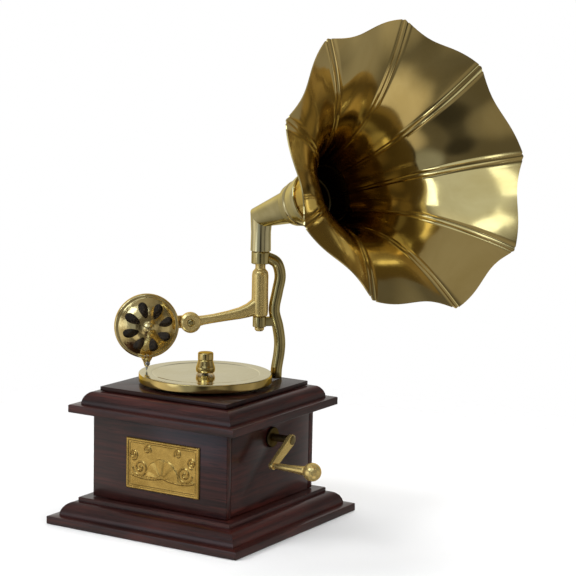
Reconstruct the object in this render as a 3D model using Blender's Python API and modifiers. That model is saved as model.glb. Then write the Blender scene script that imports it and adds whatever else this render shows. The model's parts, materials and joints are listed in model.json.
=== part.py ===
"""Small wind-up disc gramophone: wooden case, spring motor, turntable, swinging tone arm with a
sound box, S-shaped bracket and a nine-petal brass horn.

Lengths below are millimetres and become metres when a mesh is made. +Z is up, the plaque faces -Y,
the crank is on +X, and the origin is the middle of the case's underside.
"""

import math

import bmesh
import bpy
from mathutils import Matrix, Vector

MM = 0.001
TAU = 2 * math.pi
GAP = 0.3

# Case
PLINTH_HALF = 75.0
LID_HALF = 65.0
BODY_HALF = 53.0
PANEL_THICK = 5.0
MOULDING_RUN = 15.0
FILLET_HEIGHT = 5.3
LEDGE = 6.0
OVOLO_RISE = 9.1
PLINTH_HEIGHT = 17.4
LID_BASE = 74.9
LID_FRAME_RISE = 13.7
TOP_BOARD_THICK = 3.0
TOP_Z = 91.9
MITRE_GAP = 0.2
PLAQUE_X = 3.5
PLAQUE_Z = 45.0
PLAQUE_HALF_WIDTH = 28.8
PLAQUE_HALF_HEIGHT = 17.0
PLAQUE_BORDER = 1.9

# Turntable
PLATTER_RADIUS = 44.6
PLATTER_TOP = 99.4
SPINDLE_RADIUS = 3.0

# Winding gear: straight bevel pair and the crank
CRANK_Z = 62.5
CRANK_ARM_X = 66.8
CRANK_ARM_THICK = 2.5
CRANK_THROW = 25.7
CRANK_SHAFT = 2.5
CRANK_ANGLE = math.radians(-60.1)
BEVEL_WHEEL_TEETH = 18
BEVEL_PINION_TEETH = 12
BEVEL_MODULE = 1.0
BEVEL_SMALL_END = 0.65

# Spring motor, seen from above
BARREL_X = 24.0
BARREL_TEETH = 36
TRAIN_PINION_TEETH = 10
TRAIN_WHEEL_TEETH = 32
TRAIN_MODULE = 1.0
SPINDLE_WHEEL_TEETH = 36
GOVERNOR_PINION_TEETH = 9
GOVERNOR_MODULE = 0.8
GOVERNOR_ANGLE = math.radians(140.0)
GOVERNOR_SHAFT = 1.2
TRAIN_SHAFT = 1.5
RATCHET_TEETH = 12
RATCHET_LOW = 68.6
RATCHET_HIGH = 70.2
CLICK_AT = (15.13, 3.94)
CLICK_SHAFT = 0.9
MOTOR_FLOOR_Z = 20.0
MOTOR_ROOF_Z = 72.0
PLATE_THICK = 1.5
SHAFT_RADIUS = 2.0
RUNNING = 0.06

# Horn bracket and tone arm: both lie in the upright plane through PIVOT at ARM_YAW
PIVOT = (18.75, 36.75)
ARM_YAW = math.radians(45.0)
BRACKET_FOOT = 12.2
BRACKET_BAR = 3.8
NECK_RADIUS = 3.45
COLLAR_BASE = 170.6
COLLAR_TOP = 178.8
LUG_BASE = 127.5
LUG_TOP = 134.6
BOSS_X = -47.6
BOSS_Z = 131.4
BOSS_RADIUS = 7.0
SOUND_BOX_X = -77.2
SOUND_BOX_Z = 129.6
SOUND_BOX_RADIUS = 21.8

# Horn
HORN_Z = 202.2
HORN_YAW = math.radians(-23.34)
HORN_RISE = math.radians(16.97)
PETALS = 9
FIRST_RIB = math.radians(121.2)
PETAL_START = 60.0
PETAL_END = 166.2
ELBOW_END = 45.0
SHEET = 0.8
RIM_WAVE = 0.08


# ---------------------------------------------------------------- scene and materials

for old in list(bpy.data.objects):
    bpy.data.objects.remove(old, do_unlink=True)

PARTS = bpy.data.collections.new("table_gramophone")
CUTTERS = bpy.data.collections.new("cutters")
bpy.context.scene.collection.children.link(PARTS)
bpy.context.scene.collection.children.link(CUTTERS)


def principled(name, colour, roughness, metallic):
    made = bpy.data.materials.new(name)
    made.use_nodes = True
    shader = made.node_tree.nodes["Principled BSDF"]
    shader.inputs["Base Color"].default_value = (*colour, 1.0)
    shader.inputs["Roughness"].default_value = roughness
    shader.inputs["Metallic"].default_value = metallic
    made.diffuse_color = (*colour, 1.0)
    return made


MAHOGANY = principled("mahogany", (0.055, 0.016, 0.012), 0.12, 0.0)
BARE_WOOD = principled("bare_wood", (0.30, 0.17, 0.09), 0.6, 0.0)
BRASS = principled("polished_brass", (0.66, 0.50, 0.20), 0.12, 1.0)
CAST_BRASS = principled("cast_brass", (0.50, 0.39, 0.16), 0.25, 1.0)
PALE_BRASS = principled("pale_brass", (0.62, 0.55, 0.34), 0.18, 1.0)
STEEL = principled("steel", (0.55, 0.55, 0.56), 0.3, 1.0)
SPRING_STEEL = principled("spring_steel", (0.25, 0.27, 0.33), 0.35, 1.0)
MICA = principled("mica", (0.55, 0.50, 0.40), 0.2, 0.0)


# ---------------------------------------------------------------- helpers


def at(x, y, z):
    return Matrix.Translation(Vector((x, y, z)) * MM)


def joint_axis(name, matrix, parent=None):
    """An empty that stands on a joint's axis and carries the pieces that turn about it."""
    axis = bpy.data.objects.new(name, None)
    PARTS.objects.link(axis)
    axis.parent = parent
    axis.matrix_basis = matrix
    axis.empty_display_size = 0.01
    return axis


def place(name, data, material, parent=None, matrix=None):
    part = bpy.data.objects.new(name, data)
    PARTS.objects.link(part)
    if material:
        data.materials.append(material)
    part.parent = parent
    part.matrix_basis = matrix or Matrix()
    return part


def from_bmesh(name, builder, material, parent=None, matrix=None):
    mesh = bpy.data.meshes.new(name)
    builder.to_mesh(mesh)
    builder.free()
    return place(name, mesh, material, parent, matrix)


def block(name, low, high, material, parent=None, matrix=None):
    builder = bmesh.new()
    bmesh.ops.create_cube(builder, size=1.0)
    low, high = Vector(low) * MM, Vector(high) * MM
    bmesh.ops.scale(builder, vec=high - low, verts=builder.verts)
    bmesh.ops.translate(builder, vec=(low + high) / 2, verts=builder.verts)
    return from_bmesh(name, builder, material, parent, matrix)


def rod(name, radius, low, high, material=None, parent=None, matrix=None, sides=24):
    """A cylinder along Z from low to high."""
    builder = bmesh.new()
    size = {"radius1": radius * MM, "radius2": radius * MM, "depth": (high - low) * MM}
    bmesh.ops.create_cone(builder, cap_ends=True, segments=sides, **size)
    bmesh.ops.translate(builder, vec=(0, 0, (low + high) / 2 * MM), verts=builder.verts)
    return from_bmesh(name, builder, material, parent, matrix)


def turned(name, profile, material, parent=None, matrix=None, steps=24, ring=False):
    """A lathe-turned piece: the profile of (radius, height) runs down its outer side."""
    count = len(profile)
    edges = [(i, i + 1) for i in range(count - 1)]
    if ring:
        edges.append((count - 1, 0))
    mesh = bpy.data.meshes.new(name)
    mesh.from_pydata([(r * MM, 0, z * MM) for r, z in profile], edges, [])
    part = place(name, mesh, material, parent, matrix)
    screw = part.modifiers.new("turn", "SCREW")
    screw.axis = "Z"
    screw.angle = TAU
    screw.steps = steps
    screw.render_steps = steps
    screw.use_merge_vertices = True
    screw.merge_threshold = 0.00002
    screw.use_smooth_shade = False
    return part


def outline_plate(name, outlines, low, high, material, parent=None, matrix=None):
    """A flat plate from low to high; the first outline is its edge and the rest are holes."""
    curve = bpy.data.curves.new(name, "CURVE")
    curve.dimensions = "2D"
    curve.fill_mode = "BOTH"
    curve.extrude = (high - low) / 2 * MM
    for outline in outlines:
        spline = curve.splines.new("POLY")
        spline.points.add(len(outline) - 1)
        for point, (x, y) in zip(spline.points, outline):
            point.co = (x * MM, y * MM, 0, 1)
        spline.use_cyclic_u = True
    middle = at(0, 0, (low + high) / 2)
    return place(name, curve, material, parent, (matrix or Matrix()) @ middle)


def bar(name, points, radius, material, parent=None, matrix=None, resolution=6):
    """A round bar bent through the points."""
    curve = bpy.data.curves.new(name, "CURVE")
    curve.dimensions = "3D"
    curve.bevel_depth = radius * MM
    curve.bevel_resolution = resolution
    curve.use_fill_caps = True
    spline = curve.splines.new("POLY")
    spline.points.add(len(points) - 1)
    for point, place_mm in zip(spline.points, points):
        point.co = (*(Vector(place_mm) * MM), 1)
    return place(name, curve, material, parent, matrix)


def as_mesh(part):
    """Swaps a curve or modified object for the plain mesh that it makes, in the same place."""
    bpy.context.view_layer.update()
    graph = bpy.context.evaluated_depsgraph_get()
    mesh = bpy.data.meshes.new_from_object(part.evaluated_get(graph))
    builder = bmesh.new()
    builder.from_mesh(mesh)
    bmesh.ops.remove_doubles(builder, verts=builder.verts, dist=2e-6)
    bmesh.ops.recalc_face_normals(builder, faces=builder.faces)
    builder.to_mesh(mesh)
    builder.free()
    name, parent, matrix = part.name, part.parent, part.matrix_basis.copy()
    bpy.data.objects.remove(part, do_unlink=True)
    mesh.name = name
    return place(name, mesh, None, parent, matrix)


def helper(part):
    """Moves a cutter or a joined shape out of the parts and hides it from the build."""
    PARTS.objects.unlink(part)
    CUTTERS.objects.link(part)
    part.hide_render = True
    part.display_type = "WIRE"
    return part


def join(part, other, operation="UNION"):
    modifier = part.modifiers.new(operation.lower(), "BOOLEAN")
    modifier.operation = operation
    modifier.solver = "EXACT"
    modifier.object = helper(other)
    return part


def cut(part, cutter):
    return join(part, cutter, "DIFFERENCE")


def loft(name, rings, material, parent=None, matrix=None, closed=False):
    """Skins equal-length rings of points; the ends are capped unless the rings close on themselves."""
    builder = bmesh.new()
    rows = [[builder.verts.new(Vector(p) * MM) for p in ring] for ring in rings]
    pairs = list(zip(rows, rows[1:]))
    if closed:
        pairs.append((rows[-1], rows[0]))
    for row, following in pairs:
        for i in range(len(row)):
            j = (i + 1) % len(row)
            builder.faces.new((row[i], row[j], following[j], following[i]))
    if not closed:
        builder.faces.new(reversed(rows[0]))
        builder.faces.new(rows[-1])
    bmesh.ops.recalc_face_normals(builder, faces=builder.faces)
    return from_bmesh(name, builder, material, parent, matrix)


def circle(radius, centre=(0, 0), points=20):
    steps = [TAU * i / points for i in range(points)]
    return [(centre[0] + radius * math.cos(a), centre[1] + radius * math.sin(a)) for a in steps]


def turned_by(angle, x, y):
    """The point (x, y) turned about the origin."""
    return x * math.cos(angle) - y * math.sin(angle), x * math.sin(angle) + y * math.cos(angle)


def stadium(length, start_radius, end_radius, heading):
    """Outline of a flat arm with a round end about the origin and another at `length` along heading."""
    outline = []
    for centre, radius, first in ((0.0, start_radius, 90), (length, end_radius, -90)):
        for step in range(7):
            a = math.radians(first + 30 * step)
            x, y = centre + radius * math.cos(a), radius * math.sin(a)
            outline.append(turned_by(heading, x, y))
    return outline


def gear_outline(teeth, module, phase=0.0, addendum=0.8, dedendum=1.1, tooth=0.2):
    """Outline with a tooth centred on angle `phase`; `tooth` is half its width over the pitch."""
    pitch = TAU / teeth
    radius = teeth * module / 2
    corners = (
        (radius - dedendum * module, -1.4 * tooth),
        (radius + addendum * module, -0.5 * tooth),
        (radius + addendum * module, 0.5 * tooth),
        (radius - dedendum * module, 1.4 * tooth),
    )
    return [
        (r * math.cos(phase + pitch * (k + share)), r * math.sin(phase + pitch * (k + share)))
        for k in range(teeth)
        for r, share in corners
    ]


# ---------------------------------------------------------------- case


def moulding_profile(half, base, rise):
    """Section of the case moulding as (distance from the middle, height), from the outer foot up."""
    ovolo_run = MOULDING_RUN - LEDGE - 0.8
    section = [(half, base), (half, base + FILLET_HEIGHT)]
    for step in range(6):
        a = math.radians(18 * step)
        section.append(
            (
                half - LEDGE - ovolo_run * (1 - math.cos(a)),
                base + FILLET_HEIGHT + OVOLO_RISE * math.sin(a),
            )
        )
    if rise > LID_FRAME_RISE:
        section.append((half - MOULDING_RUN, base + FILLET_HEIGHT + OVOLO_RISE))
        section.append((half - MOULDING_RUN, base + rise))
    else:
        section[-1] = (half - MOULDING_RUN + 0.8, base + rise)
        section.append((half - MOULDING_RUN, base + rise))
    return section


def moulding_frame(label, half, inner, base, rise):
    """Four mitred lengths of moulding around the case."""
    section = moulding_profile(half, base, rise) + [(inner, base + rise), (inner, base)]
    for turn, side in enumerate(("front", "right", "back", "left")):
        ends = [[(sign * (d - MITRE_GAP), -d, z) for d, z in section] for sign in (-1, 1)]
        loft(f"{label}_{side}", ends, MAHOGANY, matrix=Matrix.Rotation(turn * TAU / 4, 4, "Z"))


def case():
    moulding_frame("plinth", PLINTH_HALF, 47.7, 0.0, PLINTH_HEIGHT)
    moulding_frame("lid", LID_HALF, 44.5, LID_BASE, LID_FRAME_RISE)
    inside = BODY_HALF - PANEL_THICK
    low, high = PLINTH_HEIGHT + GAP, LID_BASE - GAP
    block("bottom_board", (-47.4, -47.4, 0), (47.4, 47.4, 6.0), BARE_WOOD)
    block("panel_front", (-BODY_HALF, -BODY_HALF, low), (BODY_HALF, -inside, high), MAHOGANY)
    block("panel_back", (-BODY_HALF, inside, low), (BODY_HALF, BODY_HALF, high), MAHOGANY)
    flank = inside - GAP
    block("panel_left", (-BODY_HALF, -flank, low), (-inside, flank, high), MAHOGANY)
    right = block("panel_right", (inside, -flank, low), (BODY_HALF, flank, high), MAHOGANY)
    across = at(0, 0, CRANK_Z) @ Matrix.Rotation(TAU / 4, 4, "Y")
    cut(right, rod("crank_hole", 4.7, inside - 2, BODY_HALF + 2, matrix=across))
    half = LID_HALF - MOULDING_RUN
    low = TOP_Z - TOP_BOARD_THICK
    top = block("top_board", (-half, -half, low), (half, half, TOP_Z), MAHOGANY)
    cut(top, rod("spindle_hole", 5.8, 80, 95))
    foot = at(*PIVOT, 0) @ Matrix.Rotation(ARM_YAW, 4, "Z") @ at(BRACKET_FOOT, 0, 0)
    cut(top, rod("bracket_hole", 2.7, 80, 95, matrix=foot))


def plaque():
    """Thin brass plate with a raised border and a plain oval in relief."""
    half_width, half_height, border = PLAQUE_HALF_WIDTH, PLAQUE_HALF_HEIGHT, PLAQUE_BORDER
    face = BODY_HALF + GAP
    centre = at(PLAQUE_X, 0, PLAQUE_Z)
    low, high = (-half_width, -face - 0.6, -half_height), (half_width, -face, half_height)
    plate = block("plaque", low, high, BRASS, matrix=centre)
    upright = centre @ Matrix.Rotation(TAU / 4, 4, "X")

    def rectangle(inset):
        x, y = half_width - inset, half_height - inset
        return [(-x, -y), (x, -y), (x, y), (-x, y)]

    def oval(inset):
        turns = [TAU * i / 20 for i in range(20)]
        return [((17.0 - inset) * math.cos(a), (11.0 - inset) * math.sin(a)) for a in turns]

    for name, shape, width, rise in (("border", rectangle, border, 1.2), ("oval", oval, 1.4, 1.1)):
        outlines = [shape(0.0), shape(width)]
        relief = outline_plate(f"plaque_{name}", outlines, face + 0.4, face + rise, None, matrix=upright)
        join(plate, as_mesh(relief))


# ---------------------------------------------------------------- turntable and spring motor


def with_pinion(part, teeth, module, low, high, phase, parent):
    leaves = gear_outline(teeth, module, phase)
    pinion = outline_plate(f"{part.name}_leaves", [leaves], low, high, None, parent)
    return join(part, as_mesh(pinion))


def train_centre():
    """Where the intermediate arbor stands: both its meshes are at their pitch distances."""
    to_spindle = TRAIN_MODULE * (TRAIN_WHEEL_TEETH + TRAIN_PINION_TEETH) / 2
    to_barrel = TRAIN_MODULE * (BARREL_TEETH + TRAIN_PINION_TEETH) / 2
    x = (BARREL_X**2 + to_spindle**2 - to_barrel**2) / (2 * BARREL_X)
    return x, -math.sqrt(to_spindle**2 - x**2)


def heading(start, end):
    return math.atan2(end[1] - start[1], end[0] - start[0])


def turntable():
    axis = joint_axis("turntable_axis", Matrix())
    platter = [
        (35.4, PLATTER_TOP - 0.3),
        (36.0, PLATTER_TOP - 0.7),
        (36.6, PLATTER_TOP),
        (PLATTER_RADIUS - 0.6, PLATTER_TOP),
        (PLATTER_RADIUS, PLATTER_TOP - 0.6),
        (PLATTER_RADIUS, PLATTER_TOP - 5.4),
        (PLATTER_RADIUS - 1.6, PLATTER_TOP - 5.4),
        (PLATTER_RADIUS - 1.6, PLATTER_TOP - 2.2),
        (7.0, PLATTER_TOP - 2.2),
        (7.0, PLATTER_TOP - 6.0),
        (SPINDLE_RADIUS + RUNNING, PLATTER_TOP - 6.0),
        (SPINDLE_RADIUS + RUNNING, PLATTER_TOP - 0.2),
    ]
    turned("platter", platter, BRASS, axis, steps=40, ring=True)
    spindle = [
        (0, 107.9),
        (SHAFT_RADIUS, 107.9),
        (SHAFT_RADIUS, PLATTER_TOP - 0.4),
        (SPINDLE_RADIUS, PLATTER_TOP - 0.4),
        (SPINDLE_RADIUS, 77.0),
        (SHAFT_RADIUS, 77.0),
        (SHAFT_RADIUS, 19.0),
        (0, 19.0),
    ]
    shaft = turned("spindle", spindle, STEEL, axis, steps=20)
    mesh_heading = heading((0, 0), train_centre())
    with_pinion(shaft, TRAIN_PINION_TEETH, TRAIN_MODULE, 22.6, 26.4, mesh_heading, axis)
    knob = [
        (0, 113.2),
        (4.5, 113.2),
        (5.1, 112.6),
        (5.1, 105.9),
        (6.0, 103.5),
        (6.4, 102.7),
        (6.4, 100.7),
        (6.0, PLATTER_TOP + GAP),
        (SHAFT_RADIUS + RUNNING, PLATTER_TOP + GAP),
        (SHAFT_RADIUS + RUNNING, 108.2),
        (0, 108.2),
    ]
    turned("record_knob", knob, BRASS, axis, steps=20)
    wheel = gear_outline(SPINDLE_WHEEL_TEETH, GOVERNOR_MODULE, GOVERNOR_ANGLE)
    outline_plate("spindle_wheel", [wheel, circle(SHAFT_RADIUS + RUNNING)], 52.0, 53.5, BRASS, axis)
    bush = [(8.0, 92.9), (8.0, TOP_Z + 0.1), (5.5, TOP_Z + 0.1), (5.5, 87.9)]
    bore = SPINDLE_RADIUS + 0.08
    turned("spindle_bush", bush + [(bore, 87.9), (bore, 92.9)], BRASS, steps=20, ring=True)


def train():
    """Intermediate wheel and pinion between the barrel and the spindle."""
    centre = train_centre()
    axis = joint_axis("train_axis", at(*centre, 0))
    stem = [(0, 74.5), (TRAIN_SHAFT, 74.5), (TRAIN_SHAFT, 19.0), (0, 19.0)]
    arbor = turned("train_arbor", stem, STEEL, axis, steps=12)
    to_barrel = heading(centre, (BARREL_X, 0))
    with_pinion(arbor, TRAIN_PINION_TEETH, TRAIN_MODULE, 26.8, 31.6, to_barrel, axis)
    gap_phase = heading(centre, (0, 0)) + math.pi / TRAIN_WHEEL_TEETH
    wheel = gear_outline(TRAIN_WHEEL_TEETH, TRAIN_MODULE, gap_phase)
    outline_plate("train_wheel", [wheel, circle(TRAIN_SHAFT + RUNNING)], 23.5, 25.5, BRASS, axis)


def governor_centre():
    """Where the governor arbor stands: its pinion meshes with the wheel on the spindle."""
    distance = GOVERNOR_MODULE * (SPINDLE_WHEEL_TEETH + GOVERNOR_PINION_TEETH) / 2
    return distance * math.cos(GOVERNOR_ANGLE), distance * math.sin(GOVERNOR_ANGLE)


def governor():
    axis = joint_axis("governor_axis", at(*governor_centre(), 0))
    stem = [(0, 74.5), (GOVERNOR_SHAFT, 74.5), (GOVERNOR_SHAFT, 19.0), (0, 19.0)]
    arbor = turned("governor_arbor", stem, STEEL, axis, steps=12)
    gap_phase = GOVERNOR_ANGLE + math.pi + math.pi / GOVERNOR_PINION_TEETH
    with_pinion(arbor, GOVERNOR_PINION_TEETH, GOVERNOR_MODULE, 50.8, 54.8, gap_phase, axis)
    bore = GOVERNOR_SHAFT + RUNNING
    collar = [(2.6, 46.0), (2.6, 31.0), (6.6, 31.0), (6.6, 29.6), (bore, 29.6), (bore, 46.0)]
    head = turned("governor_head", collar, BRASS, axis, steps=16, ring=True)
    for k in range(3):
        turn = Matrix.Rotation(TAU * k / 3, 4, "Z")
        arm = block(f"governor_arm_{k}", (2.0, -0.9, 39.2), (6.5, 0.9, 40.8), None, axis, turn)
        join(head, arm)
        builder = bmesh.new()
        bmesh.ops.create_uvsphere(builder, u_segments=10, v_segments=6, radius=2.3 * MM)
        weight = from_bmesh(f"governor_ball_{k}", builder, None, axis, turn @ at(7.2, 0, 40.0))
        join(head, weight)


def barrel():
    axis = joint_axis("barrel_axis", at(BARREL_X, 0, 0))
    bore = SHAFT_RADIUS + RUNNING
    drum = [(16.4, 47.6), (16.4, 30.5), (bore, 30.5), (bore, 32.0), (15.6, 32.0), (15.6, 47.6)]
    body = turned("spring_barrel", drum, BRASS, axis, steps=24, ring=True)
    gap_phase = heading((BARREL_X, 0), train_centre()) + math.pi / BARREL_TEETH
    teeth = gear_outline(BARREL_TEETH, TRAIN_MODULE, gap_phase)
    ring = outline_plate("barrel_teeth", [teeth, circle(bore)], 28.4, 31.0, None, axis)
    join(body, as_mesh(ring))

    turns, steps, thickness = 5, 12, 0.5
    inner, outer = 4.2, 14.8

    def coil(offset):
        for i in range(turns * steps + 1):
            share = i / (turns * steps)
            radius = inner + (outer - inner) * share + offset
            yield radius * math.cos(TAU * turns * share), radius * math.sin(TAU * turns * share)

    strip = list(coil(-thickness / 2)) + list(reversed(list(coil(thickness / 2))))
    outline_plate("mainspring", [strip], 32.4, 46.8, SPRING_STEEL, axis)


def winder():
    """Upright winding arbor with its bevel wheel and ratchet, driven by the crank."""
    axis = joint_axis("winder_axis", at(BARREL_X, 0, 0))
    arbor = [
        (0, 74.5),
        (SHAFT_RADIUS, 74.5),
        (SHAFT_RADIUS, 46.8),
        (3.4, 46.8),
        (3.4, 32.4),
        (SHAFT_RADIUS, 32.4),
        (SHAFT_RADIUS, 19.0),
        (0, 19.0),
    ]
    turned("winding_arbor", arbor, STEEL, axis, steps=16)
    apex = CRANK_Z
    low = apex - BEVEL_PINION_TEETH * BEVEL_MODULE / 2
    outline = gear_outline(BEVEL_WHEEL_TEETH, BEVEL_MODULE, math.pi / BEVEL_WHEEL_TEETH, 0.8, 1.35, 0.19)
    tip = apex - (apex - low) * BEVEL_SMALL_END
    small = [(x * BEVEL_SMALL_END, y * BEVEL_SMALL_END, tip) for x, y in outline]
    wheel = loft("bevel_wheel", [[(x, y, low) for x, y in outline], small], BRASS, axis)
    join(wheel, rod("bevel_wheel_hub", 4.4, 53.0, low + 1, parent=axis))
    cut(wheel, rod("bevel_wheel_bore", SHAFT_RADIUS + RUNNING, 50, 62, parent=axis))

    ratchet = []
    for k in range(RATCHET_TEETH):
        start = TAU * k / RATCHET_TEETH
        ratchet.append((6.2 * math.cos(start), 6.2 * math.sin(start)))
        ratchet.append((5.2 * math.cos(start + 0.03), 5.2 * math.sin(start + 0.03)))
    bore = circle(SHAFT_RADIUS + RUNNING)
    outline_plate("ratchet_wheel", [ratchet, bore], RATCHET_LOW, RATCHET_HIGH, STEEL, axis)


def crank():
    face = at(CRANK_ARM_X, 0, CRANK_Z) @ Matrix.Rotation(TAU / 4, 4, "Y")
    axis = joint_axis("crank_axis", face)
    apex = BARREL_X - CRANK_ARM_X
    large = apex + BEVEL_WHEEL_TEETH * BEVEL_MODULE / 2
    tip = apex + (large - apex) * BEVEL_SMALL_END
    shaft = [
        (0, CRANK_ARM_THICK + 1.2),
        (2.2, CRANK_ARM_THICK + 1.0),
        (3.1, CRANK_ARM_THICK + GAP),
        (CRANK_SHAFT, CRANK_ARM_THICK + GAP),
        (CRANK_SHAFT, large + 3.0),
        (3.6, large + 3.0),
        (3.6, large - 0.6),
        (0, large - 0.6),
    ]
    rotor = turned("crank_shaft", shaft, STEEL, axis, steps=20)
    outline = gear_outline(BEVEL_PINION_TEETH, BEVEL_MODULE, 0.0, 0.8, 0.95, 0.19)
    small = [(x * BEVEL_SMALL_END, y * BEVEL_SMALL_END, tip) for x, y in outline]
    join(rotor, loft("pinion_teeth", [small, [(x, y, large) for x, y in outline]], None, axis))

    end = (CRANK_THROW * math.cos(CRANK_ANGLE), CRANK_THROW * math.sin(CRANK_ANGLE))
    holes = [circle(CRANK_SHAFT + RUNNING), circle(1.6, end)]
    outline = stadium(CRANK_THROW, 3.7, 2.7, CRANK_ANGLE)
    outline_plate("crank_arm", [outline] + holes, 0, CRANK_ARM_THICK, BRASS, axis)

    grip_axis = joint_axis("grip_axis", at(*end, 0), axis)
    ball, reach = 6.0, 31.0
    grip = [
        (ball * math.cos(a), reach + ball * math.sin(a))
        for a in (math.radians(90 - 20 * step) for step in range(9))
    ]
    grip[0] = (0, reach + ball)
    grip += [
        (2.9, reach - ball + 0.4),
        (2.2, 13.0),
        (1.9, CRANK_ARM_THICK + GAP),
        (1.5, CRANK_ARM_THICK + GAP),
        (1.5, -0.2),
        (2.4, -0.2),
        (1.8, -0.8),
        (0, -0.8),
    ]
    turned("crank_grip", grip, BRASS, grip_axis, steps=18)

    bore = CRANK_SHAFT + 0.08
    flange = [(6.4, -12.0), (6.8, -12.6), (6.8, -13.5), (4.4, -13.5)]
    barrel_end = [(4.4, -19.2), (bore, -19.2), (bore, -12.0)]
    turned("crank_bush", flange + barrel_end, BRASS, matrix=face, steps=20, ring=True)


def motor_frame():
    """Two plates on posts under the lid frame; the ear carries the inner end of the crank."""
    outline = [(-28.0, -38.0), (44.5, -38.0), (44.5, 26.0), (-28.0, 26.0)]
    corners = [(-24.0, -34.0), (40.5, -34.0), (-24.0, 22.0)]
    bores = [
        circle(SHAFT_RADIUS + RUNNING),
        circle(SHAFT_RADIUS + RUNNING, (BARREL_X, 0)),
        circle(TRAIN_SHAFT + RUNNING, train_centre()),
        circle(GOVERNOR_SHAFT + RUNNING, governor_centre()),
    ]
    feet = [circle(1.7, corner, 12) for corner in corners]
    top = MOTOR_ROOF_Z + PLATE_THICK
    floor = MOTOR_FLOOR_Z + PLATE_THICK
    outlines = [outline] + bores + feet
    outline_plate("motor_bottom_plate", outlines, MOTOR_FLOOR_Z, floor, STEEL)
    outlines.append(circle(CLICK_SHAFT + RUNNING, CLICK_AT, 16))
    roof = as_mesh(outline_plate("motor_top_plate", outlines, MOTOR_ROOF_Z, top, STEEL))
    ear = block("motor_ear", (39.5, -6.0, 56.0), (41.5, 6.0, MOTOR_ROOF_Z + 0.5), None)
    join(roof, ear)
    across = at(0, 0, CRANK_Z) @ Matrix.Rotation(TAU / 4, 4, "Y")
    cut(roof, rod("ear_bore", CRANK_SHAFT + 0.08, 38, 43, matrix=across))
    for k, corner in enumerate(corners):
        post = [
            (0, LID_BASE + LID_FRAME_RISE),
            (3.0, LID_BASE + LID_FRAME_RISE),
            (3.0, top + GAP),
            (1.4, top + GAP),
            (1.4, MOTOR_ROOF_Z - GAP),
            (2.4, MOTOR_ROOF_Z - GAP),
            (2.4, floor + GAP),
            (1.4, floor + GAP),
            (1.4, MOTOR_FLOOR_Z - GAP),
            (2.4, MOTOR_FLOOR_Z - GAP),
            (2.4, MOTOR_FLOOR_Z - 2.0),
            (0, MOTOR_FLOOR_Z - 2.0),
        ]
        turned(f"motor_post_{k + 1}", post, STEEL, matrix=at(*corner, 0), steps=12)


def click():
    """Sprung pawl, nose just clear of the ratchet; its stem turns in the upper plate."""
    axis = joint_axis("click_axis", at(*CLICK_AT, 0))
    pawl = [
        (5.5, 1.6),
        (4.4, 2.3),
        (1.0, 1.8),
        (-1.0, 1.5),
        (-1.8, 0.0),
        (-1.0, -1.5),
        (1.0, -1.4),
        (4.0, 0.9),
    ]
    lever = as_mesh(outline_plate("click", [pawl], RATCHET_LOW, RATCHET_HIGH, STEEL, axis))
    join(lever, rod("click_stem", CLICK_SHAFT, RATCHET_LOW + 0.8, 74.5, None, axis, sides=16))


# ---------------------------------------------------------------- bracket, tone arm and sound box


def smooth_path(points, steps):
    """Points along a Catmull-Rom curve through the given points."""
    ends = [points[0]] + list(points) + [points[-1]]
    path = []
    for a, b, c, d in zip(ends, ends[1:], ends[2:], ends[3:]):
        a, b, c, d = Vector(a), Vector(b), Vector(c), Vector(d)
        for i in range(steps):
            t = i / steps
            bend = (2 * a - 5 * b + 4 * c - d) * t**2
            twist = (3 * b - a - 3 * c + d) * t**3
            path.append((2 * b + (c - a) * t + bend + twist) / 2)
    path.append(Vector(points[-1]))
    return path


def bracket(pivot):
    """Cast bracket: a double-bowed bar with a lug under the tone arm and a collar around its neck."""
    route = [
        (BRACKET_FOOT, 0, TOP_Z + GAP),
        (12.5, 0, 99.0),
        (14.0, 0, 109.0),
        (14.3, 0, 117.4),
        (12.8, 0, 127.5),
        (10.1, 0, 138.8),
        (12.0, 0, 151.0),
        (13.8, 0, 162.0),
        (11.2, 0, 171.0),
        (4.6, 0, 174.7),
    ]
    path = smooth_path(route, 2)
    casting = as_mesh(bar("horn_bracket", path, BRACKET_BAR, CAST_BRASS, pivot, resolution=3))
    join(casting, rod("bracket_collar", 6.2, COLLAR_BASE, COLLAR_TOP, parent=pivot))
    join(casting, rod("bracket_lug", 4.6, LUG_BASE, LUG_TOP, parent=pivot))
    web = block("bracket_web", (2.0, -2.6, LUG_BASE + 0.6), (12.0, 2.6, LUG_TOP - 0.6), None, pivot)
    join(casting, web)
    foot = at(BRACKET_FOOT, 0, 0)
    stud = rod("bracket_stud", 2.4, TOP_Z - TOP_BOARD_THICK + GAP, TOP_Z + 3, None, pivot, foot)
    join(casting, stud)
    cut(casting, rod("collar_bore", NECK_RADIUS + 0.1, 165, 185, parent=pivot))
    cut(casting, rod("lug_bore", 1.6, 120, 140, parent=pivot))


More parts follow.
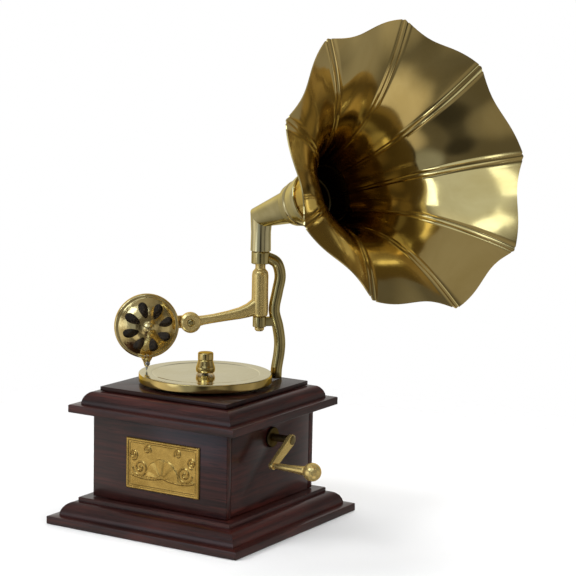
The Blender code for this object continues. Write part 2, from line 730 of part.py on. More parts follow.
def tone_arm(pivot):
    screw = [
        (0, 140.0),
        (1.5, 140.0),
        (1.5, LUG_BASE - GAP),
        (3.2, LUG_BASE - GAP),
        (3.2, LUG_BASE - 1.9),
        (2.3, LUG_BASE - 2.9),
        (0, LUG_BASE - 3.3),
    ]
    turned("pivot_screw", screw, CAST_BRASS, pivot)
    hub = [
        (NECK_RADIUS, 174.2),
        (NECK_RADIUS, 166.4),
        (4.6, 166.0),
        (5.5, 165.0),
        (5.5, 147.0),
        (5.7, 136.0),
        (5.2, LUG_TOP + GAP),
        (1.6, LUG_TOP + GAP),
        (1.6, 141.0),
        (2.4, 142.0),
        (2.4, 174.2),
    ]
    hub = turned("tone_arm", hub, CAST_BRASS, pivot, ring=True)

    def section(x, z, radius):
        ring = [TAU * i / 16 for i in range(16)]
        return [(x, radius * math.cos(a), z + radius * math.sin(a)) for a in ring]

    stations = [
        (-3.6, 139.4, 4.3),
        (-9.0, 137.6, 3.7),
        (-20.0, 135.4, 3.1),
        (-32.0, 133.6, 2.7),
        (-42.6, 132.1, 3.1),
    ]
    join(hub, loft("arm_tube", [section(*s) for s in stations], None, pivot))
    upright = at(BOSS_X, 0, BOSS_Z) @ Matrix.Rotation(TAU / 4, 4, "X")
    profile = [(0, 3.5), (6.2, 3.5), (BOSS_RADIUS, 2.7), (BOSS_RADIUS, -1.0), (6.6, -1.5), (0, -1.5)]
    join(hub, as_mesh(turned("arm_boss", profile, None, pivot, upright)))
    cut(hub, rod("boss_bore", 1.6 + RUNNING, -6, 6, parent=pivot, matrix=upright, sides=24))

    axis = joint_axis("sound_box_axis", upright, pivot)
    screw = [
        (0, 4.9),
        (1.5, 4.7),
        (2.3, 3.8),
        (1.6, 3.8),
        (1.6, -4.2),
        (2.6, -4.2),
        (2.0, -5.2),
        (0, -5.4),
    ]
    turned("boss_screw", screw, STEEL, pivot, upright, steps=20)
    return axis


def sound_box(axis):
    here = at(SOUND_BOX_X - BOSS_X, SOUND_BOX_Z - BOSS_Z, 0)
    rim = SOUND_BOX_RADIUS
    back = [(0, -1.0), (17.0, -1.0), (17.0, 0.0), (20.4, 0.0), (20.4, -3.0), (19.4, -3.8), (0, -3.8)]
    shell = turned("sound_box_back", back, CAST_BRASS, axis, here, steps=32)
    ear = outline_plate("sound_box_ear", [stadium(13.0, 4.4, 4.0, math.pi)], -3.8, -1.9, None, axis)
    join(shell, as_mesh(ear))
    cut(shell, rod("ear_bore_hole", 1.6 + RUNNING, -8, 4, parent=axis, sides=24))

    outer = [(0, 12.6), (2.6, 12.0), (4.2, 10.4), (9.0, 9.4), (14.4, 6.6), (18.4, 3.2), (19.8, 1.7)]
    lip = [(rim, 1.1), (rim, -1.6), (20.8, -1.6), (20.8, 0.2)]
    under = [(17.6, 2.4), (13.8, 5.6), (8.7, 8.3), (3.6, 9.2), (0, 11.0)]
    cover = turned("sound_box_cover", outer + lip + under, BRASS, axis, here, steps=32)
    openings = bpy.data.curves.new("cover_openings", "CURVE")
    openings.dimensions = "2D"
    openings.fill_mode = "BOTH"
    openings.extrude = 7 * MM
    for k in range(8):
        turn = TAU * (k + 0.35) / 8
        spline = openings.splines.new("POLY")
        spline.points.add(7)
        for i, point in enumerate(spline.points):
            a = TAU * i / 8
            x = 12.0 + 4.9 * math.cos(a)
            y = (2.8 + 0.9 * math.cos(a)) * math.sin(a)
            x, y = turned_by(turn, x, y)
            point.co = (x * MM, y * MM, 0, 1)
        spline.use_cyclic_u = True
    cut(cover, as_mesh(place("cover_openings", openings, None, axis, here @ at(0, 0, 7.6))))
    cut(cover, block("cover_notch", (-1.5, -25.0, 0.4), (1.5, -15.8, 2.9), None, axis, here))

    turned("diaphragm", [(0, 0.7), (19.0, 0.7), (19.0, 0.3), (0, 0.3)], MICA, axis, here, steps=24)

    down = here @ at(0, 0, 1.7) @ Matrix.Rotation(TAU / 4, 4, "X")
    holder = [
        (0, 23.6),
        (0.82, 23.6),
        (0.82, 27.2),
        (1.4, 27.2),
        (2.0, 25.0),
        (2.7, 23.0),
        (2.6, 22.2),
        (0, 22.2),
    ]
    lever = turned("needle_arm", holder, CAST_BRASS, axis, down, steps=14)
    join(lever, block("needle_bar", (-0.8, -22.6, 1.0), (0.8, -1.0, 2.4), None, axis, here))
    thumb_place = here @ at(0, -24.6, 1.7)
    cut(lever, rod("needle_screw_hole", 0.66, 0.8, 4.0, None, axis, thumb_place, sides=16))
    needle = [(0, 30.0), (0.15, 30.0), (0.75, 28.4), (0.75, 24.0), (0, 24.0)]
    turned("needle", needle, STEEL, axis, down, steps=10)
    thumb = [(0, 4.9), (1.3, 4.9), (1.5, 4.6), (1.5, 3.2), (0.6, 3.0), (0.6, 0.9), (0, 0.9)]
    turned("needle_screw", thumb, STEEL, axis, thumb_place, steps=10)


# ---------------------------------------------------------------- horn


def bell_radius(distance):
    """Inner radius of the bell, this far along its axis from the elbow's corner."""
    share = (distance - PETAL_START) / (PETAL_END - PETAL_START)
    return 15.5 + 27.0 * share + 48.9 * share**3.6


def rim_wave(part, share):
    """Share of the radius left between two ribs: the edge dips most just before the second of them."""
    lean = 1 - 0.5 * math.cos(math.pi * share)
    return 1 - RIM_WAVE * part**3 * math.sin(math.pi * share) ** 0.85 * lean


def elbow(turn):
    cos_rise, sin_rise = math.cos(HORN_RISE), math.sin(HORN_RISE)
    angles = [TAU * i / 24 for i in range(24)]

    def level(radius, z):
        return [(radius * math.cos(a), radius * math.sin(a), z - HORN_Z) for a in angles]

    def mitre(radius):
        return [
            (
                radius * math.cos(a),
                radius * math.sin(a),
                -radius * math.cos(a) * cos_rise / (1 + sin_rise),
            )
            for a in angles
        ]

    def across(radius, distance):
        return [
            (
                distance * cos_rise + radius * math.cos(a) * sin_rise,
                radius * math.sin(a),
                distance * sin_rise - radius * math.cos(a) * cos_rise,
            )
            for a in angles
        ]

    base = COLLAR_TOP + 1.4
    rings = [
        level(NECK_RADIUS, 174.6),
        level(NECK_RADIUS, base),
        level(6.9, base),
        level(6.7, 192.0),
        mitre(7.4),
        across(12.5, ELBOW_END),
        across(11.4, ELBOW_END),
        mitre(6.4),
        level(5.4, 190.0),
        level(5.4, 186.0),
        level(2.4, 182.5),
        level(2.4, 174.6),
    ]
    loft("elbow", rings, PALE_BRASS, turn, closed=True)


def horn(turn):
    elbow(turn)
    cos_rise, sin_rise = math.cos(HORN_RISE), math.sin(HORN_RISE)
    along = Matrix(((0, -sin_rise, cos_rise), (1, 0, 0), (0, cos_rise, sin_rise))).to_4x4()
    neck = [
        (19.3, 66.0),
        (18.2, 60.0),
        (14.7, 50.4),
        (15.4, 49.2),
        (15.4, 47.6),
        (14.6, ELBOW_END - 3.0),
        (12.9, ELBOW_END - 3.0),
        (12.9, ELBOW_END + GAP),
        (11.6, ELBOW_END + GAP),
        (14.8, 59.0),
        (16.9, 59.6),
        (18.3, 66.0),
    ]
    turned("horn_neck", neck, PALE_BRASS, turn, along, steps=27, ring=True)

    rows, bead = 8, 0.075
    shares = [0.0, 0.06, 0.10, 0.3, 0.5]
    shares += [1 - s for s in reversed(shares[:-1])]
    for k in range(PETALS):
        builder = bmesh.new()
        grid = []
        for i in range(rows + 1):
            part = 1 - (1 - i / rows) ** 1.25
            distance = PETAL_START + (PETAL_END - PETAL_START) * part
            radius = bell_radius(distance)
            seam = 0.5 * GAP / radius
            row = []
            for share in shares:
                angle = FIRST_RIB + TAU * (k + share) / PETALS
                if share == 0:
                    angle += seam
                if share == 1:
                    angle -= seam
                edge = min(share, 1 - share)
                raised = 0.9 * part * max(0.0, min(1.0, (bead + 0.02 - edge) / 0.03))
                r = radius * rim_wave(part, share) - raised
                point = Vector((r * math.cos(angle), r * math.sin(angle), distance))
                row.append(builder.verts.new(point * MM))
            grid.append(row)
        for row, following in zip(grid, grid[1:]):
            for i in range(len(shares) - 1):
                builder.faces.new((row[i], row[i + 1], following[i + 1], following[i]))
        petal = from_bmesh(f"horn_petal_{k + 1}", builder, BRASS, turn, along)
        wall = petal.modifiers.new("sheet", "SOLIDIFY")
        wall.thickness = SHEET * MM
        wall.offset = 1.0


# ---------------------------------------------------------------- assembly


def main():
    case()
    plaque()
    turntable()
    train()
    governor()
    barrel()
    winder()
    crank()
    motor_frame()
    click()
    pivot = joint_axis("arm_pivot", at(*PIVOT, 0) @ Matrix.Rotation(ARM_YAW, 4, "Z"))
    bracket(pivot)
    sound_box(tone_arm(pivot))
    horn(joint_axis("horn_pivot", at(*PIVOT, HORN_Z) @ Matrix.Rotation(HORN_YAW, 4, "Z")))
    bpy.context.view_layer.update()
    for part in PARTS.objects:
        if part.type == "MESH" and len(part.data.polygons):
            part.data.shade_smooth()
            part.data.set_sharp_from_angle(angle=math.radians(35))


main()
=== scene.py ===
"""Looks for the small wind-up gramophone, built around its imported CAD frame.

Shapes are given in millimetres and become metres when a mesh is made.
"""

import json
import math

import bmesh
import bpy
from mathutils import Matrix, Vector


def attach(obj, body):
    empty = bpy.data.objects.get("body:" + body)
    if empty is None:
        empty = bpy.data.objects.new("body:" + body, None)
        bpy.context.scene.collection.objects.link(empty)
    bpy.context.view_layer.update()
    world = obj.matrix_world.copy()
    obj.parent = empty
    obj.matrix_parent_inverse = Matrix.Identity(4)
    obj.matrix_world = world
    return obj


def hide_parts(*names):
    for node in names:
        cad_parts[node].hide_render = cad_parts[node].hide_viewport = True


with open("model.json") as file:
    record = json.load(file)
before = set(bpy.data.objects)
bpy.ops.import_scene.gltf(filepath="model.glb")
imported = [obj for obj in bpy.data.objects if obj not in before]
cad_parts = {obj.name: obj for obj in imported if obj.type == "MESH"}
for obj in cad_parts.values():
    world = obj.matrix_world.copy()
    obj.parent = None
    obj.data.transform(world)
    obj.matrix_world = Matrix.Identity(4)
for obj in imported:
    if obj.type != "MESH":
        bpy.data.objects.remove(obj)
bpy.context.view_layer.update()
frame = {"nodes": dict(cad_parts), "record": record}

MM = 0.001
TAU = 2 * math.pi
GAP = 0.3
MERGE = 1e-7  # metres between vertices that become one
CAD_MERGE = 2e-6  # the same for the faceted CAD meshes
ON_AXIS = 1e-9  # metres between corners of a face that a lathe's axis brings together

# Camera
CAMERA_AT = (0.7281, -1.0851, 0.3529)
CAMERA_AZIMUTH, CAMERA_ELEVATION, CAMERA_ROLL = 31.49, 8.51, 1.13
CAMERA_LENS = 124.2

# Case
PLINTH_HALF, LID_HALF, BODY_HALF = 75.0, 65.0, 53.0
PLINTH_INNER, LID_INNER = 47.7, 44.5
MOULDING_RUN, LEDGE, FILLET_HEIGHT, OVOLO_RISE = 15.0, 6.0, 5.3, 9.1
PLINTH_HEIGHT, LID_BASE, LID_FRAME_RISE, TOP_Z = 17.4, 74.9, 13.7, 91.9
MITRE_GAP = 0.05
PLAQUE_X, PLAQUE_Z, PLAQUE_HALF_WIDTH, PLAQUE_HALF_HEIGHT = 3.5, 45.0, 28.8, 17.0
PLAQUE_SHEET, PLAQUE_RIM, PLAQUE_BEAD, RELIEF_TOP = 0.6, 0.55, 0.25, 0.8
SHELL_RADIUS, SHELL_BELOW, SHELL_FLUTES = 13.0, 7.5, 4.5
# Scroll ornaments: centre, size and the angle its spiral starts from
SCROLLS = [((17.5, -2.0), 5.6, 0.0), ((23.0, 6.0), 3.2, 1.4), ((12.0, 10.5), 2.6, 2.6)]

# Turntable and crank
PLATTER_RADIUS, PLATTER_TOP, SPINDLE_RADIUS, SHAFT_RADIUS = 44.6, 99.4, 3.0, 2.0
CRANK_Z, CRANK_ARM_X, CRANK_ARM_THICK, CRANK_THROW = 62.5, 66.8, 2.5, 25.7
CRANK_ANGLE = math.radians(-60.1)

# Bracket, tone arm and horn
PIVOT = (18.75, 36.75)
ARM_YAW = math.radians(45.0)
NECK_RADIUS, COLLAR_BASE, COLLAR_TOP, BRACKET_BAR = 3.45, 170.6, 178.8, 3.85
LUG_BASE, LUG_TOP = 127.5, 134.6
BOSS_X, BOSS_Z, BOSS_RADIUS = -47.6, 131.4, 7.0
SOUND_BOX_X, SOUND_BOX_Z, SOUND_BOX_RADIUS = -77.2, 129.6, 21.8
HORN_Z = 202.2
HORN_YAW, HORN_RISE = math.radians(-23.34), math.radians(16.97)
PETALS = 9
FIRST_RIB = math.radians(121.2)
PETAL_START, PETAL_END, ELBOW_END = 60.0, 166.2, 45.0
PETAL_ROWS, ROW_CROWDING, SEAM_OVERLAP = 44, 1.3, 0.03
SHEET = 0.8
RIM_WAVE = 0.08
LINING_LIMIT = -0.15  # a face whose normal leans further than this towards the axis is lining


# ---------------------------------------------------------------- materials


class Shader:
    """A Principled material and short ways to feed it from other nodes."""

    def __init__(self, name, **values):
        self.material = bpy.data.materials.new(name)
        self.material.use_nodes = True
        self.tree = self.material.node_tree
        self.main = self.tree.nodes["Principled BSDF"]
        for socket, value in values.items():
            self.main.inputs[socket.replace("_", " ")].default_value = value

    def node(self, kind, **settings):
        made = self.tree.nodes.new("ShaderNode" + kind)
        for key, value in settings.items():
            if key in made.inputs.keys():
                made.inputs[key].default_value = value
            else:
                setattr(made, key, value)
        return made

    def link(self, source, target):
        self.tree.links.new(source, target)

    def place(self, scale=(1.0, 1.0, 1.0), offset=(0.0, 0.0, 0.0)):
        """The piece's own coordinates, in metres at scale 1."""
        coords = self.node("TexCoord")
        mapping = self.node("Mapping")
        mapping.inputs["Scale"].default_value = scale
        mapping.inputs["Location"].default_value = offset
        self.link(coords.outputs["Object"], mapping.inputs["Vector"])
        return mapping.outputs["Vector"]

    def noise(self, vector, scale, detail=3.0, roughness=0.55, distortion=0.0):
        made = self.node(
            "TexNoise", Scale=scale, Detail=detail, Roughness=roughness, Distortion=distortion
        )
        self.link(vector, made.inputs["Vector"])
        return made.outputs["Fac"]

    def ramp(self, factor, stops):
        made = self.node("ValToRGB")
        elements = made.color_ramp.elements
        while len(elements) < len(stops):
            elements.new(0.5)
        for element, (position, colour) in zip(elements, stops):
            element.position = position
            element.color = (*colour, 1.0)
        self.link(factor, made.inputs["Fac"])
        return made.outputs["Color"]

    def spread(self, factor, low, high, start=0.3, end=0.7):
        """Maps a factor from start..end onto low..high."""
        made = self.node("MapRange")
        limits = {"From Min": start, "From Max": end, "To Min": low, "To Max": high}
        for key, value in limits.items():
            made.inputs[key].default_value = value
        self.link(factor, made.inputs["Value"])
        return made.outputs["Result"]

    def mix(self, factor, one, other, blend="MIX"):
        made = self.node("Mix", data_type="RGBA", blend_type=blend)
        for value, place in ((factor, 0), (one, 6), (other, 7)):
            socket = made.inputs[place]
            if isinstance(value, bpy.types.NodeSocket):
                self.link(value, socket)
            elif isinstance(value, tuple):
                socket.default_value = (*value, 1.0)
            else:
                socket.default_value = value
        return made.outputs[2]

    def math(self, operation, one, other):
        made = self.node("Math", operation=operation)
        for value, socket in ((one, made.inputs[0]), (other, made.inputs[1])):
            if isinstance(value, bpy.types.NodeSocket):
                self.link(value, socket)
            else:
                socket.default_value = value
        return made.outputs[0]

    def blend(self, one, other, one_share, other_share):
        """The weighted sum of two factors."""
        return self.math(
            "ADD", self.math("MULTIPLY", one, one_share), self.math("MULTIPLY", other, other_share)
        )

    def bump(self, height, strength, distance):
        made = self.node("Bump", Strength=strength, Distance=distance)
        self.link(height, made.inputs["Height"])
        self.link(made.outputs["Normal"], self.main.inputs["Normal"])


def drawn_out(grain, along, across):
    """Scales, in marks per metre, for a noise that is drawn out along one axis."""
    return tuple(along if axis == grain else across for axis in "XYZ")


def mahogany(name, grain, haze=0.18, coat=0.55, tone=1.0):
    """Dark red-brown wood under lacquer.

    The figure runs along the grain axis, haze blurs the lacquer, coat is how much of it
    there is, and a tone under 1 paints shade into the wood's colour and lowers its specular.
    """
    shader = Shader(name, Roughness=0.38, Coat_Weight=coat, Coat_Roughness=haze, Coat_IOR=1.5)
    shader.main.inputs["Specular IOR Level"].default_value = 0.2 * tone
    figure = shader.noise(shader.place(drawn_out(grain, 14.0, 260.0)), 1.0, 5.0, 0.62, 0.8)
    pore = shader.noise(shader.place(drawn_out(grain, 60.0, 900.0)), 1.0, 2.0, 0.5)
    cloud = shader.noise(shader.place((22.0, 22.0, 22.0)), 1.0, 2.0)
    dark, middle, light = (0.009, 0.0030, 0.0030), (0.030, 0.0070, 0.0055), (0.066, 0.0135, 0.0090)
    wood = shader.ramp(figure, [(0.25, dark), (0.5, middle), (0.75, light)])
    # A tone under 1 scales this down: painted shade.
    shade = shader.spread(cloud, 0.62 * tone, 1.25 * tone)
    grey = shader.node("CombineColor")
    for socket in ("Red", "Green", "Blue"):
        shader.link(shade, grey.inputs[socket])
    tinted = shader.mix(1.0, wood, grey.outputs["Color"], "MULTIPLY")
    flecked = shader.mix(shader.spread(pore, 0.0, 0.75, 0.58, 0.72), tinted, (0.006, 0.002, 0.002))
    shader.link(flecked, shader.main.inputs["Base Color"])
    shader.bump(pore, 0.12, 0.0002)
    return shader.material


def brass(name, colour, tarnish, smooth=0.08, rough=0.2, patch=24.0, dent=0.02, metallic=1.0):
    """Polished brass with cloudy tarnish, fine wiping marks and a faintly uneven surface."""
    shader = Shader(name, Metallic=metallic, Specular_Tint=(*colour, 1.0))
    cloud = shader.noise(shader.place(), patch, 4.0, 0.6, 0.5)
    fine = shader.noise(shader.place((1.0, 1.0, 2.2)), patch * 22, 3.0, 0.6)
    shade = shader.ramp(cloud, [(0.32, colour), (0.72, tarnish)])
    shader.link(shade, shader.main.inputs["Base Color"])
    both = shader.blend(cloud, fine, 0.7, 0.3)
    shader.link(shader.spread(both, smooth, rough), shader.main.inputs["Roughness"])
    shader.bump(shader.noise(shader.place(), patch * 3, 2.0, 0.5), dent, 0.004)
    return shader


def horn_brass_throat_shade():
    """The horn's sheet: bright gold at the flare, with painted shade browning the throat."""
    shader = Shader("horn_brass_throat_shade", Metallic=1.0)
    axis = shader.node("VectorMath", operation="DOT_PRODUCT")
    axis.inputs[1].default_value = tuple(horn_direction())
    shader.link(shader.place(offset=tuple(-v for v in horn_corner())), axis.inputs[0])
    depth = shader.spread(axis.outputs["Value"], 0.0, 1.0, 0.055, 0.150)
    cloud = shader.noise(shader.place(), 18.0, 4.0, 0.62, 0.7)
    fine = shader.noise(shader.place(), 420.0, 3.0, 0.6)
    flare = shader.ramp(cloud, [(0.30, (0.84, 0.64, 0.26)), (0.70, (0.68, 0.49, 0.17))])
    # Painted shade: darker, browner colours towards the throat stand for the shade deep in the
    # horn.
    throat_shade = shader.ramp(cloud, [(0.30, (0.40, 0.28, 0.10)), (0.70, (0.22, 0.15, 0.055))])
    shader.link(shader.mix(depth, throat_shade, flare), shader.main.inputs["Base Color"])
    both = shader.blend(cloud, fine, 0.75, 0.25)
    shader.link(shader.spread(both, 0.05, 0.15), shader.main.inputs["Roughness"])
    shader.bump(shader.noise(shader.place(), 26.0, 2.0, 0.5), 0.35, 0.0012)
    return shader.material


def lathe_finish(shader, pitch, strength):
    """Swaps the shader's bump for fine rings round the piece's Z; pitch is in millimetres."""
    split = shader.node("SeparateXYZ")
    shader.link(shader.place(), split.inputs[0])
    flat = shader.node("CombineXYZ")
    shader.link(split.outputs["X"], flat.inputs["X"])
    shader.link(split.outputs["Y"], flat.inputs["Y"])
    length = shader.node("VectorMath", operation="LENGTH")
    shader.link(flat.outputs[0], length.inputs[0])
    rings = shader.node("TexNoise", Scale=1.0, Detail=2.0, noise_dimensions="1D")
    shader.link(shader.math("MULTIPLY", length.outputs["Value"], 1 / MM / pitch), rings.inputs["W"])
    shader.bump(rings.outputs["Fac"], strength, 0.0004)
    return shader


def steel(name, colour, roughness):
    """Turned steel with faint clouds and tool marks across its Z."""
    shader = Shader(name, Metallic=1.0)
    cloud = shader.noise(shader.place(), 160.0, 4.0)
    shade = shader.ramp(cloud, [(0.3, colour), (0.7, tuple(0.7 * c for c in colour))])
    shader.link(shade, shader.main.inputs["Base Color"])
    shader.link(shader.spread(cloud, roughness, roughness + 0.18), shader.main.inputs["Roughness"])
    shader.bump(shader.noise(shader.place((1.0, 1.0, 12.0)), 900.0, 2.0), 0.05, 0.0002)
    return shader.material


def bare_wood():
    """Unfinished pale board, grain along X."""
    shader = Shader("bare_wood_grain", Roughness=0.6)
    figure = shader.noise(shader.place(drawn_out("X", 12.0, 260.0)), 1.0, 5.0, 0.6, 0.7)
    wood = shader.ramp(figure, [(0.3, (0.16, 0.085, 0.042)), (0.7, (0.34, 0.20, 0.11))])
    shader.link(wood, shader.main.inputs["Base Color"])
    shader.bump(figure, 0.2, 0.0004)
    return shader.material


def mica():
    """Dark glossy sheet with crumpled clouds, for the diaphragm."""
    shader = Shader("mica_sheet", Roughness=0.25, Coat_Weight=0.5, Coat_Roughness=0.1)
    cloud = shader.noise(shader.place(), 260.0, 4.0, 0.6, 1.0)
    sheet = shader.ramp(cloud, [(0.3, (0.055, 0.040, 0.026)), (0.7, (0.12, 0.085, 0.05))])
    shader.link(sheet, shader.main.inputs["Base Color"])
    shader.bump(cloud, 0.08, 0.0003)
    return shader.material


def horn_direction():
    """Unit vector along the horn's axis, outwards."""
    across = math.cos(HORN_RISE)
    return Vector((across * math.cos(HORN_YAW), across * math.sin(HORN_YAW), math.sin(HORN_RISE)))


def horn_corner():
    """The point in metres where the elbow's two axes meet."""
    return Vector((*PIVOT, HORN_Z)) * MM


WOOD_X = mahogany("mahogany_lacquer_x", "X")
WOOD_Y = mahogany("mahogany_lacquer_y", "Y")
# Painted shade: the top's wood is darkened to half tone for the dark its lacquer shows.
WOOD_TOP_SHADED = mahogany("mahogany_lacquer_top_painted_shade", "X", 0.03, 0.32, 0.5)

# name, colour, tarnish, (smoothest and roughest roughness, patches per metre, dents, metallic)
POLISHED = brass("polished_brass_gold", (0.78, 0.58, 0.22), (0.58, 0.41, 0.14)).material
CAST_LOOK = (0.20, 0.28, 30.0, 0.008, 0.80)
CAST = brass("cast_brass_gold", (0.88, 0.66, 0.26), (0.68, 0.49, 0.17), *CAST_LOOK).material
OLIVE_LOOK = (0.10, 0.22, 60.0, 0.012)
OLIVE = brass("cast_brass_olive", (0.62, 0.50, 0.21), (0.40, 0.31, 0.12), *OLIVE_LOOK).material
PALE_LOOK = (0.09, 0.18, 50.0, 0.01)
PALE = brass("pale_brass_silvery", (0.78, 0.68, 0.38), (0.58, 0.49, 0.25), *PALE_LOOK).material
TURNED = brass("platter_brass", (0.90, 0.86, 0.70), (0.82, 0.76, 0.56), 0.05, 0.12, 30.0)
PLATTER = lathe_finish(TURNED, 0.5, 0.06).material
PRESSED_LOOK = (0.16, 0.32, 90.0, 0.05, 0.85)
PRESSED = brass("pressed_brass", (0.64, 0.41, 0.11), (0.38, 0.23, 0.055), *PRESSED_LOOK).material
DOME_LOOK = (0.08, 0.22, 120.0, 0.05)
DOME = brass("sound_box_brass", (0.92, 0.72, 0.32), (0.58, 0.42, 0.16), *DOME_LOOK).material
BUSH_LOOK = (0.25, 0.4, 90.0, 0.03)
BUSH = brass("dark_bush_brass", (0.20, 0.15, 0.07), (0.10, 0.075, 0.035), *BUSH_LOOK).material
HORN = horn_brass_throat_shade()
BACK_LOOK = (0.10, 0.24, 20.0, 0.01)
HORN_BACK = brass("horn_back_brass", (0.80, 0.61, 0.25), (0.60, 0.44, 0.16), *BACK_LOOK).material
# Painted shade: near-black brass for the ferrule's inside, standing for the shade down the horn's
# throat.
THROAT_LOOK = (0.3, 0.45, 60.0, 0.01)
THROAT_SHADE = brass("throat_brass_painted_shade", (0.14, 0.10, 0.04), (0.07, 0.05, 0.02), *THROAT_LOOK).material
STEEL = steel("turned_steel", (0.56, 0.56, 0.57), 0.22)
# Brass-toned steel for the crank shaft, darkened as painted shade where the arm shades it.
SHAFT_TONE_AND_SHADE = steel("shaft_steel_brass_tone_painted_shade", (0.42, 0.32, 0.14), 0.30)
BLUED = steel("blued_spring_steel", (0.20, 0.23, 0.31), 0.28)
BARE = bare_wood()
MICA = mica()


# ---------------------------------------------------------------- shape helpers


def at(x, y, z):
    """A move in millimetres."""
    return Matrix.Translation(Vector((x, y, z)) * MM)


def turn(angle, axis):
    return Matrix.Rotation(angle, 4, axis)


def piece(name, builder, material, body, *nodes, slot=None, matrix=None, sharp=32):
    """Makes the bmesh a piece that rides on a body and stands for CAD nodes."""
    if matrix is not None:
        bmesh.ops.transform(builder, matrix=matrix, verts=builder.verts)
    bmesh.ops.remove_doubles(builder, verts=builder.verts, dist=MERGE)
    mesh = bpy.data.meshes.new(name)
    builder.to_mesh(mesh)
    builder.free()
    mesh.shade_smooth()
    mesh.set_sharp_from_angle(angle=math.radians(sharp))
    mesh.materials.append(material)
    made = bpy.data.objects.new(name, mesh)
    bpy.context.scene.collection.objects.link(made)
    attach(made, body)
    if nodes:
        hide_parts(*nodes)
    return made


def rounded(points, size, steps=3, closed=False):
    """The outline with each corner eased over `size`."""
    eased = []
    count = len(points)
    for i, corner in enumerate(points):
        corner = Vector(corner)
        if not closed and i in (0, count - 1):
            eased.append(corner)
            continue
        before, after = Vector(points[i - 1]) - corner, Vector(points[(i + 1) % count]) - corner
        start = corner + before.normalized() * min(size, 0.45 * before.length)
        end = corner + after.normalized() * min(size, 0.45 * after.length)
        for k in range(steps + 1):
            t = k / steps
            eased.append(start * (1 - t) ** 2 + corner * 2 * t * (1 - t) + end * t * t)
    return eased


def skin(builder, rings, closed=False):
    """Adds a skin over equal-length rings of points in millimetres; an open one gets end caps."""
    rows = [[builder.verts.new(Vector(p) * MM) for p in ring] for ring in rings]
    pairs = list(zip(rows, rows[1:]))
    if closed:
        pairs.append((rows[-1], rows[0]))
    for row, following in pairs:
        for i in range(len(row)):
            j = (i + 1) % len(row)
            builder.faces.new((row[i], row[j], following[j], following[i]))
    if not closed:
        builder.faces.new(reversed(rows[0]))
        builder.faces.new(rows[-1])
    return rows


def lathe(builder, profile, steps=64, ring=False, matrix=None):
    """Adds a turned solid with a (radius, height) profile, which ring makes a closed loop."""
    rings = []
    for k in range(steps):
        a = TAU * k / steps
        rings.append([(r * math.cos(a), r * math.sin(a), z) for r, z in profile])
    rows = [[builder.verts.new(Vector(p) * MM) for p in row] for row in rings]
    count = len(profile)
    spans = count if ring else count - 1
    for k in range(steps):
        row, following = rows[k], rows[(k + 1) % steps]
        for i in range(spans):
            j = (i + 1) % count
            corners = []
            for vert in (row[i], row[j], following[j], following[i]):
                if all((vert.co - other.co).length > ON_AXIS for other in corners):
                    corners.append(vert)
            if len(corners) > 2:
                builder.faces.new(corners)
    made = [v for row in rows for v in row]
    if matrix is not None:
        bmesh.ops.transform(builder, matrix=matrix, verts=made)
    bmesh.ops.remove_doubles(builder, verts=made, dist=MERGE)


def turned(name, profile, material, body, *nodes, ease=0.4, steps=64, ring=False, **options):
    """A lathe piece with its profile's corners eased."""
    builder = bmesh.new()
    lathe(builder, rounded(profile, ease, closed=ring), steps, ring)
    bmesh.ops.recalc_face_normals(builder, faces=builder.faces)
    return piece(name, builder, material, body, *nodes, **options)


def from_node(node):
    """A bmesh of a CAD node with its flat faces made whole again."""
    builder = bmesh.new()
    builder.from_mesh(frame["nodes"][node].data)
    bmesh.ops.remove_doubles(builder, verts=builder.verts, dist=CAD_MERGE)
    flat = math.radians(1.0)
    bmesh.ops.dissolve_limit(builder, angle_limit=flat, verts=builder.verts, edges=builder.edges)
    return builder


def eased_node(name, node, material, body, width, slot, segments=2):
    """A CAD node with its sharp edges rounded over."""
    builder = from_node(node)
    sharp = math.radians(40)
    bmesh.ops.bevel(
        builder,
        geom=[e for e in builder.edges if e.is_manifold and e.calc_face_angle(0) > sharp],
        offset=width * MM,
        segments=segments,
        profile=0.5,
        affect="EDGES",
        clamp_overlap=True,
    )
    return piece(name, builder, material, body, node, slot=slot, sharp=50)


def smooth_path(points, steps):
    """Points along a Catmull-Rom curve through the given points."""
    ends = [points[0]] + list(points) + [points[-1]]
    path = []
    for a, b, c, d in zip(ends, ends[1:], ends[2:], ends[3:]):
        a, b, c, d = Vector(a), Vector(b), Vector(c), Vector(d)
        for i in range(steps):
            t = i / steps
            bend = (2 * a - 5 * b + 4 * c - d) * t**2
            twist = (3 * b - a - 3 * c + d) * t**3
            path.append((2 * b + (c - a) * t + bend + twist) / 2)
    path.append(Vector(points[-1]))
    return path


def placed(builder, rows, matrix):
    """Moves the vertices of a skin just made."""
    bmesh.ops.transform(builder, matrix=matrix, verts=[v for row in rows for v in row])


def tube(builder, path, radius, matrix, sides=32):
    """Adds a round bar along a path that lies in the XZ plane."""
    across = Vector((0, 1, 0))
    turns = [TAU * k / sides for k in range(sides)]
    rings = []
    for i, point in enumerate(path):
        ahead = (path[min(i + 1, len(path) - 1)] - path[max(i - 1, 0)]).normalized()
        side = across.cross(ahead)
        rings.append([point + (across * math.cos(a) + side * math.sin(a)) * radius for a in turns])
    placed(builder, skin(builder, rings), matrix)


# ---------------------------------------------------------------- case


